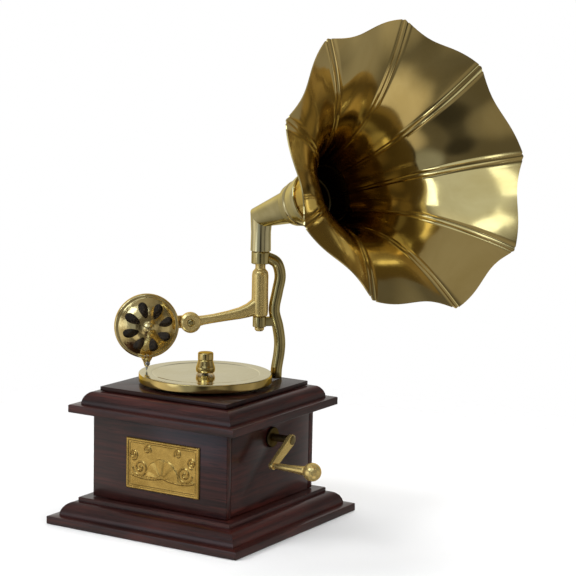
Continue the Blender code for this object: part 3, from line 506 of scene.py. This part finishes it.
def moulding_profile(half, base, rise):
    """Outer side of a moulding as (distance from the middle, height), from its foot up."""
    ovolo_run, ovolo_steps = MOULDING_RUN - LEDGE - 0.8, 16
    shelf = base + FILLET_HEIGHT
    foot = rounded([(half - 8, base), (half, base), (half, shelf), (half - LEDGE, shelf)], 0.7)
    section = [tuple(p) for p in foot[1:-1]]
    for step in range(ovolo_steps + 1):
        a = math.radians(90 * step / ovolo_steps)
        out = half - LEDGE - ovolo_run * (1 - math.cos(a))
        section.append((out, shelf + OVOLO_RISE * math.sin(a)))
    if rise > LID_FRAME_RISE:
        section.append((half - MOULDING_RUN, shelf + OVOLO_RISE))
        section.append((half - MOULDING_RUN, base + rise - 0.4))
        section.append((half - MOULDING_RUN - 0.4, base + rise))
    else:
        section = [(d, z) for d, z in section if z < base + rise - 0.2]
        section.append((half - MOULDING_RUN + 0.8, base + rise))
        section.append((half - MOULDING_RUN, base + rise))
    return section


def moulding_frame(label, half, inner, base, rise):
    """Four mitred lengths of moulding round the case."""
    section = moulding_profile(half, base, rise) + [(inner, base + rise), (inner, base)]
    for k, side in enumerate(("front", "right", "back", "left")):
        builder = bmesh.new()
        skin(builder, [[(sign * (d - MITRE_GAP), -d, z) for d, z in section] for sign in (-1, 1)])
        bmesh.ops.recalc_face_normals(builder, faces=builder.faces)
        wood = WOOD_X if k % 2 == 0 else WOOD_Y
        node = f"{label}_{side}"
        place = turn(k * TAU / 4, "Z")
        piece(f"{node}_moulding", builder, wood, "cabinet", node, slot="mahogany", matrix=place)


def case():
    """Plinth and lid mouldings, four boards and the top."""
    moulding_frame("plinth", PLINTH_HALF, PLINTH_INNER, 0.0, PLINTH_HEIGHT)
    moulding_frame("lid", LID_HALF, LID_INNER, LID_BASE, LID_FRAME_RISE)
    boards = {"front": WOOD_X, "back": WOOD_X, "left": WOOD_Y, "right": WOOD_Y}
    for side, wood in boards.items():
        eased_node(f"{side}_board", f"panel_{side}", wood, "cabinet", 0.35, "mahogany")
    eased_node("top_panel", "top_board", WOOD_TOP_SHADED, "cabinet", 0.7, "mahogany", segments=3)


def relief(u, v):
    """Height of the plaque's pressed ornament at u, v: a shell on a leafy stem, and scrolls."""
    height = 0.0
    radius = math.hypot(u, v + SHELL_BELOW)
    angle = math.atan2(v + SHELL_BELOW, u)
    if radius < SHELL_RADIUS and -0.05 < angle < math.pi + 0.05:
        fold = abs(math.sin(angle * SHELL_FLUTES))
        edge = min(1.0, (SHELL_RADIUS - radius + 1.2 * fold) / 1.6)
        flutes = 0.5 + 0.5 * fold
        height = max(height, 0.75 * flutes * max(0.0, edge) * min(1.0, radius / 3.0))
    side = abs(u)
    for centre, size, lean in SCROLLS:
        dx, dy = side - centre[0], v - centre[1]
        away = math.hypot(dx, dy)
        wind = (math.atan2(dy, dx) + lean) / TAU % 1.0
        for lap in (0, 1):
            line = size * (wind + lap) / 2 * 1.1
            height = max(height, 0.7 * max(0.0, 1 - abs(away - line) / 0.75))
    stem = -9.0 + 0.012 * (side - 13) ** 2
    if side < 25:
        height = max(height, 0.6 * max(0.0, 1 - abs(v - stem) / 0.8))
        leaf = 1.4 * abs(math.sin(side * 0.9))
        height = max(height, 0.45 * max(0.0, 1 - abs(v - stem - leaf) / 0.7))
    return min(RELIEF_TOP, height)


def plaque():
    """Thin pressed plate: a raised rim, a sunken field and a generic shell-and-scroll ornament."""
    columns, rows = 176, 104
    back = -BODY_HALF - GAP
    face = back - PLAQUE_SHEET
    builder = bmesh.new()
    grid = []
    for j in range(rows + 1):
        v = PLAQUE_HALF_HEIGHT * (2 * j / rows - 1)
        line = []
        for i in range(columns + 1):
            u = PLAQUE_HALF_WIDTH * (2 * i / columns - 1)
            inset = min(PLAQUE_HALF_WIDTH - abs(u), PLAQUE_HALF_HEIGHT - abs(v))
            rim = PLAQUE_RIM * min(1.0, inset / 0.5) * min(1.0, max(0.0, (2.0 - inset) / 0.5))
            bead = PLAQUE_BEAD * max(0.0, 1 - abs(inset - 2.9) / 0.35)
            field = relief(u, v) if inset > 3.4 else 0.0
            point = Vector((PLAQUE_X + u, face - max(rim, bead, field), PLAQUE_Z + v))
            line.append(builder.verts.new(point * MM))
        grid.append(line)
    for low, high in zip(grid, grid[1:]):
        for i in range(columns):
            builder.faces.new((low[i], low[i + 1], high[i + 1], high[i]))
    outline = grid[0] + [line[-1] for line in grid[1:]]
    outline += grid[-1][-2::-1] + [line[0] for line in grid[-2:0:-1]]
    behind = [builder.verts.new((vert.co.x, back * MM, vert.co.z)) for vert in outline]
    for i, vert in enumerate(outline):
        j = (i + 1) % len(outline)
        builder.faces.new((vert, outline[j], behind[j], behind[i]))
    builder.faces.new(behind)
    bmesh.ops.recalc_face_normals(builder, faces=builder.faces)
    piece("plaque_plate", builder, PRESSED, "cabinet", "plaque", slot="polished_brass", sharp=60)


# ---------------------------------------------------------------- turntable and crank


def turntable():
    """The platter, bright on its edge, and the knob on its spindle."""
    bore, edge = SPINDLE_RADIUS + 0.06, PLATTER_RADIUS - 1.6
    profile = [
        (35.0, PLATTER_TOP - 0.2),
        (35.8, PLATTER_TOP - 0.45),
        (36.6, PLATTER_TOP),
        (PLATTER_RADIUS - 0.5, PLATTER_TOP),
        (PLATTER_RADIUS, PLATTER_TOP - 0.4),
        (PLATTER_RADIUS, PLATTER_TOP - 5.4),
        (edge, PLATTER_TOP - 5.4),
        (edge, PLATTER_TOP - 2.2),
        (7.0, PLATTER_TOP - 2.2),
        (7.0, PLATTER_TOP - 6.0),
        (bore, PLATTER_TOP - 6.0),
        (bore, PLATTER_TOP - 0.2),
    ]
    looks = {"slot": "polished_brass", "ease": 0.25, "steps": 128, "ring": True}
    disc = turned("platter_disc", profile, PLATTER, "turntable", "platter", **looks)
    disc.data.materials.append(POLISHED)
    for face in disc.data.polygons:
        if math.hypot(face.center.x, face.center.y) > (PLATTER_RADIUS - 0.3) * MM:
            face.material_index = 1
    knob = [
        (0, 113.2),
        (4.7, 113.2),
        (5.2, 112.6),
        (5.2, 108.2),
        (5.0, 107.6),
        (5.3, 106.6),
        (5.9, 104.4),
        (6.4, 103.0),
        (6.4, 101.0),
        (6.0, PLATTER_TOP + GAP),
        (SHAFT_RADIUS + 0.06, PLATTER_TOP + GAP),
        (SHAFT_RADIUS + 0.06, 108.2),
        (0, 108.2),
    ]
    looks = {"slot": "polished_brass", "ease": 0.5}
    turned("record_knob_turned", knob, POLISHED, "turntable", "record_knob", **looks)


def crank():
    """The crank's lever, its ball grip and the bush in the right board."""
    face = at(CRANK_ARM_X, 0, CRANK_Z) @ turn(TAU / 4, "Y")
    eased_node("crank_lever", "crank_arm", CAST, "crank", 0.45, "polished_brass", segments=3)
    end = at(CRANK_THROW * math.cos(CRANK_ANGLE), CRANK_THROW * math.sin(CRANK_ANGLE), 0)
    ball, reach, foot = 6.0, 31.0, CRANK_ARM_THICK + GAP
    grip = [(0, reach + ball)]
    for step in range(1, 21):
        a = math.radians(90 - 7.5 * step)
        grip.append((ball * math.cos(a), reach + ball * math.sin(a)))
    grip += [(3.1, 25.2), (2.6, 20.0), (2.2, 13.0), (1.9, foot), (1.5, foot)]
    grip += [(1.5, -0.2), (2.4, -0.2), (1.8, -0.8), (0, -0.8)]
    looks = {"slot": "polished_brass", "ease": 0.2}
    turned("crank_ball_grip", grip, CAST, "grip", "crank_grip", matrix=face @ end, **looks)
    bore, back = 2.58, -19.2
    bush = [(6.4, -12.0), (6.8, -12.6), (6.8, -13.5), (4.4, -13.5)]
    bush += [(4.4, back), (bore, back), (bore, -12.0)]
    looks = {"slot": "polished_brass", "ease": 0.3, "ring": True}
    turned("crank_escutcheon", bush, BUSH, "cabinet", "crank_bush", matrix=face, **looks)


# ---------------------------------------------------------------- bracket and tone arm


def bracket(pivot):
    """Double-bowed casting with the horn's collar and the arm's lug, and the arm's pivot screw."""
    route = [
        (12.2, 0, TOP_Z + 0.3),
        (12.5, 0, 99.0),
        (14.0, 0, 109.0),
        (14.3, 0, 117.4),
        (12.8, 0, 127.5),
        (10.1, 0, 138.8),
        (12.0, 0, 151.0),
        (13.8, 0, 162.0),
        (11.2, 0, 171.0),
        (4.6, 0, 174.7),
    ]
    builder = bmesh.new()
    tube(builder, smooth_path(route, 8), BRACKET_BAR, pivot)
    collar = [
        (6.0, COLLAR_TOP),
        (6.2, COLLAR_TOP - 0.4),
        (6.2, COLLAR_BASE + 0.4),
        (5.8, COLLAR_BASE),
        (NECK_RADIUS + 0.1, COLLAR_BASE),
        (NECK_RADIUS + 0.1, COLLAR_TOP),
    ]
    lathe(builder, rounded(collar, 0.3, closed=True), ring=True, matrix=pivot)
    lug = [(4.6, LUG_TOP), (4.6, LUG_BASE), (1.6, LUG_BASE), (1.6, LUG_TOP)]
    lathe(builder, rounded(lug, 0.5, closed=True), ring=True, matrix=pivot)
    web, low, high = [], LUG_BASE + 0.5, LUG_TOP - 0.5
    for x, half in ((2.4, 3.0), (6.0, 2.6), (12.0, 2.6)):
        corners = [(-half, low), (half, low), (half, high), (-half, high)]
        web.append([(x, y, z) for y, z in rounded(corners, 0.8, closed=True)])
    placed(builder, skin(builder, web), pivot)
    bmesh.ops.recalc_face_normals(builder, faces=builder.faces)
    piece("gooseneck_bracket", builder, OLIVE, "cabinet", "horn_bracket", slot="cast_brass")
    screw = [
        (0, 140.0),
        (1.5, 140.0),
        (1.5, LUG_BASE - GAP),
        (3.2, LUG_BASE - GAP),
        (3.2, LUG_BASE - 1.9),
        (2.3, LUG_BASE - 2.9),
        (0, LUG_BASE - 3.3),
    ]
    looks = {"slot": "cast_brass", "ease": 0.25}
    turned("pivot_screw_turned", screw, CAST, "cabinet", "pivot_screw", matrix=pivot, **looks)


def tone_arm(pivot):
    """Hub on the pivot, flat-sided arm and round boss, cast in one."""
    hub = [
        (NECK_RADIUS, 174.2),
        (NECK_RADIUS, 167.2),
        (4.4, 166.2),
        (5.2, 165.2),
        (5.6, 163.0),
        (5.6, 150.0),
        (5.8, 140.0),
        (5.6, 136.5),
        (5.2, LUG_TOP + GAP),
        (1.6, LUG_TOP + GAP),
        (1.6, 141.0),
        (2.4, 142.0),
        (2.4, 174.2),
    ]
    builder = bmesh.new()
    lathe(builder, rounded(hub, 0.8, closed=True), ring=True, matrix=pivot)

    def section(x, z, tall, wide):
        """Rounded oblong across the arm."""
        outline, squareness = [], 0.6
        for k in range(24):
            cos_a, sin_a = math.cos(TAU * k / 24), math.sin(TAU * k / 24)
            y = wide * math.copysign(abs(cos_a) ** squareness, cos_a)
            outline.append((x, y, z + tall * math.copysign(abs(sin_a) ** squareness, sin_a)))
        return outline

    stations = [
        (-2.0, 142.0, 6.6, 4.4),
        (-5.4, 140.4, 5.6, 4.2),
        (-9.0, 138.6, 4.6, 3.9),
        (-14.0, 137.0, 3.9, 3.4),
        (-22.0, 135.4, 3.3, 3.0),
        (-32.0, 133.7, 3.0, 2.7),
        (-38.0, 132.8, 3.1, 2.6),
        (-43.0, 131.9, 3.6, 2.4),
    ]
    placed(builder, skin(builder, [section(*station) for station in stations]), pivot)
    upright = pivot @ at(BOSS_X, 0, BOSS_Z) @ turn(TAU / 4, "X")
    boss = [
        (1.66, 2.5),
        (2.5, 2.5),
        (2.6, 3.4),
        (5.4, 3.4),
        (BOSS_RADIUS, 2.2),
        (BOSS_RADIUS, -1.0),
        (6.6, -1.5),
        (1.66, -1.5),
    ]
    lathe(builder, rounded(boss, 0.25, closed=True), ring=True, matrix=upright)
    bmesh.ops.recalc_face_normals(builder, faces=builder.faces)
    piece("tone_arm_cast", builder, CAST, "arm", "tone_arm", slot="cast_brass")
    screw = [(0, 3.5), (1.5, 3.3), (2.2, 2.9), (2.2, 2.6), (1.6, 2.6)]
    screw += [(1.6, -4.2), (2.6, -4.2), (2.0, -5.2), (0, -5.4)]
    looks = {"slot": "steel", "ease": 0.2}
    turned("boss_screw_turned", screw, OLIVE, "arm", "boss_screw", matrix=upright, **looks)


def sound_box(pivot):
    """The sound box's back with its ear, its cover, needle holder, needle and thumb screw."""
    here = pivot @ at(SOUND_BOX_X, 0, SOUND_BOX_Z) @ turn(TAU / 4, "X")
    hinge = pivot @ at(BOSS_X, 0, BOSS_Z) @ turn(TAU / 4, "X")
    builder = bmesh.new()
    back = [(0, -1.0), (17.0, -1.0), (17.0, 0.0), (20.4, 0.0), (20.4, -3.0), (19.4, -3.8)]
    back += [(8.0, -3.8), (7.4, -3.5), (0, -3.5)]
    lathe(builder, rounded(back, 0.4), 96, matrix=here)
    ear = []
    for centre, radius, first in ((0.0, 4.4, -90), (-13.0, 4.0, 90)):
        for step in range(13):
            a = math.radians(first + 15 * step)
            ear.append((centre + radius * math.cos(a), radius * math.sin(a)))
    placed(builder, skin(builder, [[(x, y, z) for x, y in ear] for z in (-3.8, -1.9)]), hinge)
    bmesh.ops.recalc_face_normals(builder, faces=builder.faces)
    piece("sound_box_shell", builder, CAST, "sound_box", "sound_box_back", slot="cast_brass")
    cover(here)

    down = here @ at(0, 0, 1.7) @ turn(TAU / 4, "X")
    builder = bmesh.new()
    holder = [(0, 21.0), (3.8, 21.0), (3.4, 22.2), (2.5, 23.6), (1.9, 25.4), (1.4, 27.2)]
    holder += [(0.82, 27.2), (0.82, 23.6), (0, 23.6)]
    lathe(builder, rounded(holder, 0.3), 40, matrix=down)
    placed(builder, skin(builder, bar((-0.8, 0.8), (-21.6, -1.0), (1.0, 2.4))), here)
    bmesh.ops.recalc_face_normals(builder, faces=builder.faces)
    piece("needle_holder", builder, CAST, "sound_box", "needle_arm", slot="cast_brass")
    needle = [(0, 24.0), (0.75, 24.0), (0.75, 28.0), (0.6, 28.8), (0.15, 30.0), (0, 30.0)]
    looks = {"slot": "steel", "ease": 0.1, "steps": 24}
    turned("stylus", needle, STEEL, "sound_box", "needle", matrix=down, **looks)
    thumb = [(0, 4.9), (1.3, 4.9), (1.5, 4.6), (1.5, 3.2), (0.6, 3.0), (0.6, 0.9), (0, 0.9)]
    place = here @ at(0, -24.6, 1.7)
    looks = {"slot": "steel", "ease": 0.15, "steps": 32}
    turned("thumb_screw", thumb, STEEL, "sound_box", "needle_screw", matrix=place, **looks)


def bar(xs, ys, zs):
    """Two rings for a square bar that runs along Y."""
    (left, right), (low, high) = xs, zs
    corners = ((left, low), (right, low), (right, high), (left, high))
    return [[(x, y, z) for x, z in corners] for y in ys]


def cover(here):
    """Domed cover with eight oblong openings round a raised centre."""
    rim = SOUND_BOX_RADIUS
    outer = [
        (0.0, 12.7),
        (1.4, 12.5),
        (2.8, 11.8),
        (3.9, 10.8),
        (5.6, 10.2),
        (9.0, 9.35),
        (12.0, 8.1),
        (14.6, 6.5),
        (16.8, 4.7),
        (18.6, 2.9),
        (19.6, 2.0),
        (20.3, 2.2),
        (21.2, 2.1),
        (rim, 1.3),
        (rim, -1.2),
        (rim - 0.4, -1.6),
    ]
    under = [(20.8, -1.6), (20.8, 0.2), (17.6, 2.4), (13.8, 5.6), (8.7, 8.3), (3.6, 9.2), (0, 11.0)]
    builder = bmesh.new()
    lathe(builder, rounded(outer + under, 0.8, 2), 128, matrix=here)
    bmesh.ops.recalc_face_normals(builder, faces=builder.faces)
    looks = {"slot": "polished_brass"}
    domed = piece("sound_box_dome", builder, DOME, "sound_box", "sound_box_cover", **looks)
    cutter, openings = bmesh.new(), 8
    for k in range(openings):
        lean = TAU * (k + 0.35) / openings
        cos_lean, sin_lean = math.cos(lean), math.sin(lean)
        outline = []
        for i in range(32):
            a = TAU * i / 32
            x = 12.1 + 5.1 * math.cos(a)
            y = (2.95 + 1.0 * math.cos(a)) * math.sin(a)
            outline.append((x * cos_lean - y * sin_lean, x * sin_lean + y * cos_lean))
        placed(cutter, skin(cutter, [[(x, y, z) for x, y in outline] for z in (0.4, 14.0)]), here)
    placed(cutter, skin(cutter, bar((-1.5, 1.5), (-25.0, -15.8), (0.4, 2.9))), here)
    bmesh.ops.recalc_face_normals(cutter, faces=cutter.faces)
    mesh = bpy.data.meshes.new("cover_cutter")
    cutter.to_mesh(mesh)
    cutter.free()
    tool = bpy.data.objects.new("cover_cutter", mesh)
    bpy.context.scene.collection.objects.link(tool)
    modifier = domed.modifiers.new("openings", "BOOLEAN")
    modifier.operation = "DIFFERENCE"
    modifier.solver = "EXACT"
    modifier.object = tool
    applied(domed, 36)
    bpy.data.objects.remove(tool, do_unlink=True)


def applied(made, sharp):
    """Swaps the piece's mesh for the one that its modifiers make."""
    bpy.context.view_layer.update()
    graph = bpy.context.evaluated_depsgraph_get()
    mesh = bpy.data.meshes.new_from_object(made.evaluated_get(graph))
    made.modifiers.clear()
    made.data = mesh
    mesh.shade_smooth()
    mesh.set_sharp_from_angle(angle=math.radians(sharp))


# ---------------------------------------------------------------- horn


def bell_radius(distance):
    """Radius of the seams at a distance from the elbow's corner."""
    share = (distance - PETAL_START) / (PETAL_END - PETAL_START)
    return 15.5 + 27.0 * share + 48.9 * share**3.6


def lined(made, along, lining, outside):
    """Gives faces that look towards the horn's axis one material and all others another."""
    back = along.inverted()
    made.data.materials.clear()
    made.data.materials.append(lining)
    made.data.materials.append(outside)
    for face in made.data.polygons:
        centre, normal = back @ face.center, back.to_3x3() @ face.normal
        outwards = (centre.x * normal.x + centre.y * normal.y) / math.hypot(centre.x, centre.y)
        face.material_index = int(outwards > LINING_LIMIT)


def rim_wave(part, share):
    """Share of the radius left between two seams: the edge dips most just before the second."""
    lean = 1 - 0.5 * math.cos(math.pi * share)
    return 1 - RIM_WAVE * part**3 * abs(math.sin(math.pi * share)) ** 0.85 * lean


def elbow(base):
    """Upright tube and widening cone, mitred where they meet."""
    cos_rise, sin_rise = math.cos(HORN_RISE), math.sin(HORN_RISE)
    angles = [TAU * i / 72 for i in range(72)]

    def level(radius, z):
        return [(radius * math.cos(a), radius * math.sin(a), z - HORN_Z) for a in angles]

    def mitre(radius):
        slant = -cos_rise / (1 + sin_rise)
        circle = [(radius * math.cos(a), radius * math.sin(a)) for a in angles]
        return [(x, y, x * slant) for x, y in circle]

    def across(radius, distance):
        return [
            (
                distance * cos_rise + radius * math.cos(a) * sin_rise,
                radius * math.sin(a),
                distance * sin_rise - radius * math.cos(a) * cos_rise,
            )
            for a in angles
        ]

    foot = COLLAR_TOP + 0.5
    rings = [
        level(NECK_RADIUS, 174.6),
        level(NECK_RADIUS, foot),
        level(6.7, foot),
        level(6.9, foot + 0.2),
        level(6.9, foot + 0.6),
        level(6.7, 192.0),
        mitre(7.35),
        mitre(7.4),
        across(12.3, ELBOW_END - 0.4),
        across(12.5, ELBOW_END - 0.1),
        across(12.3, ELBOW_END),
        across(11.4, ELBOW_END),
        mitre(6.4),
        level(5.4, 190.0),
        level(5.4, 186.0),
        level(2.4, 182.5),
        level(2.4, 174.6),
    ]
    builder = bmesh.new()
    skin(builder, rings, closed=True)
    bmesh.ops.recalc_face_normals(builder, faces=builder.faces)
    looks = {"slot": "pale_brass", "sharp": 24}
    piece("elbow_tube", builder, PALE, "horn", "elbow", matrix=base, **looks)


def petal(k, along):
    """One gore of the horn, with half of a raised double line along each seam."""
    edge_steps = [0.25, 0.5, 0.65, 0.78, 0.9, 1.0, 1.12, 1.25]
    builder = bmesh.new()
    grid = []
    for i in range(PETAL_ROWS + 1):
        part = 1 - (1 - i / PETAL_ROWS) ** ROW_CROWDING
        distance = PETAL_START + (PETAL_END - PETAL_START) * part
        radius = bell_radius(distance)
        arc = TAU * radius / PETALS
        band = min(0.7 + 1.5 * part, 0.14 * arc)
        near = [-SEAM_OVERLAP / arc] + [step * band / arc for step in edge_steps]
        inner = [near[-1] + (0.5 - near[-1]) * s / 9 for s in range(1, 10)]
        half = near + inner
        shares = half + [1 - s for s in reversed(half[:-1])]
        line = []
        for share in shares:
            angle = FIRST_RIB + TAU * (k + share) / PETALS
            across = min(share, 1 - share) * arc / band
            if across < 0.5:
                raised = 0.45
            elif across < 0.9:
                raised = 0.45 + 0.55 * math.sin(math.pi / 2 * (across - 0.5) / 0.4) ** 2
            else:
                raised = max(0.0, 1 - (across - 0.9) / 0.35)
            r = radius * rim_wave(part, share) - raised * (0.35 + 0.65 * part)
            point = Vector((r * math.cos(angle), r * math.sin(angle), distance))
            line.append(builder.verts.new(point * MM))
        grid.append(line)
    for low, high in zip(grid, grid[1:]):
        for i in range(len(low) - 1):
            builder.faces.new((low[i], low[i + 1], high[i + 1], high[i]))
    name, node = f"horn_gore_{k + 1}", f"horn_petal_{k + 1}"
    made = piece(name, builder, HORN, "horn", node, slot="polished_brass", matrix=along, sharp=60)
    wall = made.modifiers.new("sheet", "SOLIDIFY")
    wall.thickness = SHEET * MM
    wall.offset = 1.0
    applied(made, 50)
    lined(made, along, HORN, HORN_BACK)


def horn():
    """Elbow, ferrule and petals; `along` turns a lathe's Z to the horn's axis."""
    base = at(*PIVOT, HORN_Z) @ turn(HORN_YAW, "Z")
    cos_rise, sin_rise = math.cos(HORN_RISE), math.sin(HORN_RISE)
    tilt = Matrix(((0, -sin_rise, cos_rise), (1, 0, 0), (0, cos_rise, sin_rise))).to_4x4()
    along = base @ tilt
    elbow(base)
    neck = [
        (19.0, 66.0),
        (18.0, 61.0),
        (16.5, 55.4),
        (15.0, 50.4),
        (15.4, 49.6),
        (15.4, 47.8),
        (14.9, 47.0),
        (14.2, ELBOW_END - 3.0),
        (12.1, ELBOW_END - 3.0),
        (12.7, ELBOW_END + GAP),
        (11.6, ELBOW_END + GAP),
        (14.8, 59.0),
        (16.9, 59.6),
        (17.6, 66.0),
    ]
    looks = {"slot": "pale_brass", "ease": 0.3, "steps": 108, "ring": True}
    ferrule = turned("horn_ferrule", neck, PALE, "horn", "horn_neck", matrix=along, **looks)
    # The ferrule's inside takes the painted-shade brass.
    lined(ferrule, along, THROAT_SHADE, PALE)
    for k in range(PETALS):
        petal(k, along)


# ---------------------------------------------------------------- CAD nodes that stay


def finishes():
    """Gives every CAD node the material of its slot."""
    kept = {"steel": STEEL, "spring_steel": BLUED, "mica": MICA, "bare_wood": BARE}
    kept |= {"polished_brass": POLISHED, "cast_brass": CAST, "pale_brass": PALE, "mahogany": WOOD_X}
    slots = {row["node"]: row["material_slot"] for row in frame["record"]["subparts"]}
    for node, shown in frame["nodes"].items():
        shown.data.materials.clear()
        # The crank shaft takes the brass-toned steel darkened with painted shade.
        shown.data.materials.append(SHAFT_TONE_AND_SHADE if node == "crank_shaft" else kept[slots[node]])


# ---------------------------------------------------------------- studio


def softbox(name, place, target, size, power, colour=(1.0, 1.0, 1.0)):
    """Rectangular light at a place, turned to its target."""
    light = bpy.data.lights.new(name, "AREA")
    light.shape = "RECTANGLE"
    light.size, light.size_y = size
    light.energy = power
    light.color = colour
    made = bpy.data.objects.new(name, light)
    bpy.context.scene.collection.objects.link(made)
    made.location = place
    made.rotation_mode = "QUATERNION"
    made.rotation_quaternion = (Vector(target) - Vector(place)).to_track_quat("-Z", "Y")
    return made


def direction(azimuth, elevation):
    """Unit vector from degrees round from the plaque's side to the crank's, and above the floor."""
    a, e = math.radians(azimuth), math.radians(elevation)
    return (math.sin(a) * math.cos(e), -math.cos(a) * math.cos(e), math.sin(e))


# What the metal mirrors, as soft patches on an even level:
# (azimuth, elevation), cosine where it starts, cosine where it is full, strength. One that is
# under 0 darkens, as a doorway does.
ROOM_LEVEL = 0.11
ROOM = [
    ((0, 90), 0.70, 0.95, 0.19),
    ((-150, 4), 0.60, 0.92, 0.50),
    ((-85, 12), 0.40, 0.92, 0.34),
    ((106, -6), 0.87, 0.98, 0.25),
    ((64, -54), 0.914, 0.985, 0.50),
    ((14, -33), 0.970, 0.9925, 0.50),
    ((30, -6), 0.9816, 0.9976, -0.075),
    ((56, -14), 0.94, 0.99, 0.14),
    ((60, -90), 0.30, 0.90, 0.07),
    ((148, -15), 0.82, 0.966, 0.15),
    ((-38, -18), 0.80, 0.966, 0.42),
]
DAYLIGHT = (0.81, 0.98, 1.26)
DAYLIT = [
    ((17, 42), 0.885, 0.955, 0.60),
    ((-24, 2), 0.965, 0.99, 0.80),
    ((0, -6), 0.93, 0.975, 0.22),
]
# Lights that brighten but aren't mirrored: name, place, size, watts
WASH_TARGET = (0.0, 0.0, 0.12)
WASHES = [
    ("wash_left", (-0.75, -1.05, 1.05), (0.7, 0.7), 17.0),
    ("wash_right", (1.35, 0.15, 0.75), (0.5, 0.9), 12.0),
    ("wash_top", (0.1, 0.1, 1.5), (0.9, 0.9), 14.0),
]
# Panels that are only mirrored: name, (azimuth, elevation), size, watts
WINDOW_TARGET, WINDOW_AWAY = (0.08, 0.0, 0.2), 1.3
WINDOWS = [
    ("window_left", (-15, 36), (0.46, 0.60), 2.4),
    ("window_right", (44, 43), (0.17, 0.42), 0.33),
]


def studio():
    """Room that the metal mirrors, white backdrop, lights and floor."""
    world = bpy.data.worlds.new("studio")
    bpy.context.scene.world = world
    world.use_nodes = True
    tree = world.node_tree
    tree.nodes.clear()

    def node(kind, **settings):
        made = tree.nodes.new("ShaderNode" + kind)
        for key, value in settings.items():
            setattr(made, key, value)
        return made

    coords = node("TexCoord")

    def glow(patches, level):
        """The level plus a soft patch round each direction, as one strength."""
        total = level
        for middle, edge, core, strength in patches:
            toward = node("VectorMath", operation="DOT_PRODUCT")
            toward.inputs[1].default_value = direction(*middle)
            tree.links.new(coords.outputs["Generated"], toward.inputs[0])
            spread = node("MapRange", interpolation_type="SMOOTHSTEP")
            limits = {"From Min": edge, "From Max": core, "To Min": 0.0, "To Max": strength}
            for key, value in limits.items():
                spread.inputs[key].default_value = value
            tree.links.new(toward.outputs["Value"], spread.inputs["Value"])
            add = node("Math", operation="ADD")
            if isinstance(total, float):
                add.inputs[0].default_value = total
            else:
                tree.links.new(total, add.inputs[0])
            tree.links.new(spread.outputs["Result"], add.inputs[1])
            total = add.outputs[0]
        return total

    room, sky = node("Background"), node("Background")
    room.inputs["Color"].default_value = (1.0, 0.98, 0.93, 1)
    sky.inputs["Color"].default_value = (*DAYLIGHT, 1)
    tree.links.new(glow(ROOM, ROOM_LEVEL), room.inputs["Strength"])
    tree.links.new(glow(DAYLIT, 0.0), sky.inputs["Strength"])
    surround, backdrop = node("AddShader"), node("Background")
    tree.links.new(room.outputs[0], surround.inputs[0])
    tree.links.new(sky.outputs[0], surround.inputs[1])
    backdrop.inputs["Color"].default_value = (1.0, 1.0, 1.0, 1)
    backdrop.inputs["Strength"].default_value = 1.0
    path, mix, out = node("LightPath"), node("MixShader"), node("OutputWorld")
    tree.links.new(path.outputs["Is Camera Ray"], mix.inputs[0])
    tree.links.new(surround.outputs[0], mix.inputs[1])
    tree.links.new(backdrop.outputs[0], mix.inputs[2])
    tree.links.new(mix.outputs[0], out.inputs["Surface"])

    for name, place, size, power in WASHES:
        softbox(name, place, WASH_TARGET, size, power).visible_glossy = False
    for name, toward, size, power in WINDOWS:
        place = Vector(direction(*toward)) * WINDOW_AWAY + Vector(WINDOW_TARGET)
        softbox(name, place, WINDOW_TARGET, size, power, DAYLIGHT).visible_diffuse = False
    floor()


def floor():
    """Pale floor that fades into the backdrop with distance and isn't mirrored."""
    fade_start, fade_end, radius, drop = 0.24, 0.46, 0.9, 0.0002
    shader = Shader("pale_floor", Roughness=0.55)
    length = shader.node("VectorMath", operation="LENGTH")
    shader.link(shader.place(), length.inputs[0])
    grain = shader.noise(shader.place(), 6.0, 3.0)
    tone = shader.ramp(grain, [(0.3, (0.84, 0.84, 0.84)), (0.7, (0.88, 0.88, 0.88))])
    shader.link(tone, shader.main.inputs["Base Color"])
    clear = shader.node("BsdfTransparent")
    mix = shader.node("MixShader")
    fade = shader.spread(length.outputs["Value"], 0.0, 1.0, fade_start, fade_end)
    shader.link(fade, mix.inputs[0])
    shader.link(shader.main.outputs[0], mix.inputs[1])
    shader.link(clear.outputs[0], mix.inputs[2])
    shader.link(mix.outputs[0], shader.tree.nodes["Material Output"].inputs["Surface"])
    builder = bmesh.new()
    bmesh.ops.create_circle(builder, cap_ends=True, segments=96, radius=radius)
    mesh = bpy.data.meshes.new("floor")
    builder.to_mesh(mesh)
    builder.free()
    mesh.materials.append(shader.material)
    made = bpy.data.objects.new("floor", mesh)
    made.location.z = -drop
    made.visible_glossy = False
    bpy.context.scene.collection.objects.link(made)


def camera():
    """The camera fitted to the photograph."""
    back, roll = Vector(direction(CAMERA_AZIMUTH, CAMERA_ELEVATION)), math.radians(CAMERA_ROLL)
    level = (-back).cross(Vector((0, 0, 1))).normalized()
    up = level.cross(-back)
    right = level * math.cos(roll) + up * math.sin(roll)
    top = up * math.cos(roll) - level * math.sin(roll)
    data = bpy.data.cameras.new("camera")
    data.lens = CAMERA_LENS
    data.sensor_width = 36.0
    data.clip_start, data.clip_end = 0.01, 20.0
    made = bpy.data.objects.new("camera", data)
    bpy.context.scene.collection.objects.link(made)
    facing = Matrix((right, top, back)).transposed().to_4x4()
    made.matrix_world = Matrix.Translation(CAMERA_AT) @ facing
    bpy.context.scene.camera = made


# ---------------------------------------------------------------- the whole object

case()
plaque()
turntable()
crank()
arm_pivot = at(*PIVOT, 0) @ turn(ARM_YAW, "Z")
bracket(arm_pivot)
tone_arm(arm_pivot)
sound_box(arm_pivot)
horn()
finishes()
camera()
studio()
bpy.context.scene.view_settings.view_transform = "Standard"
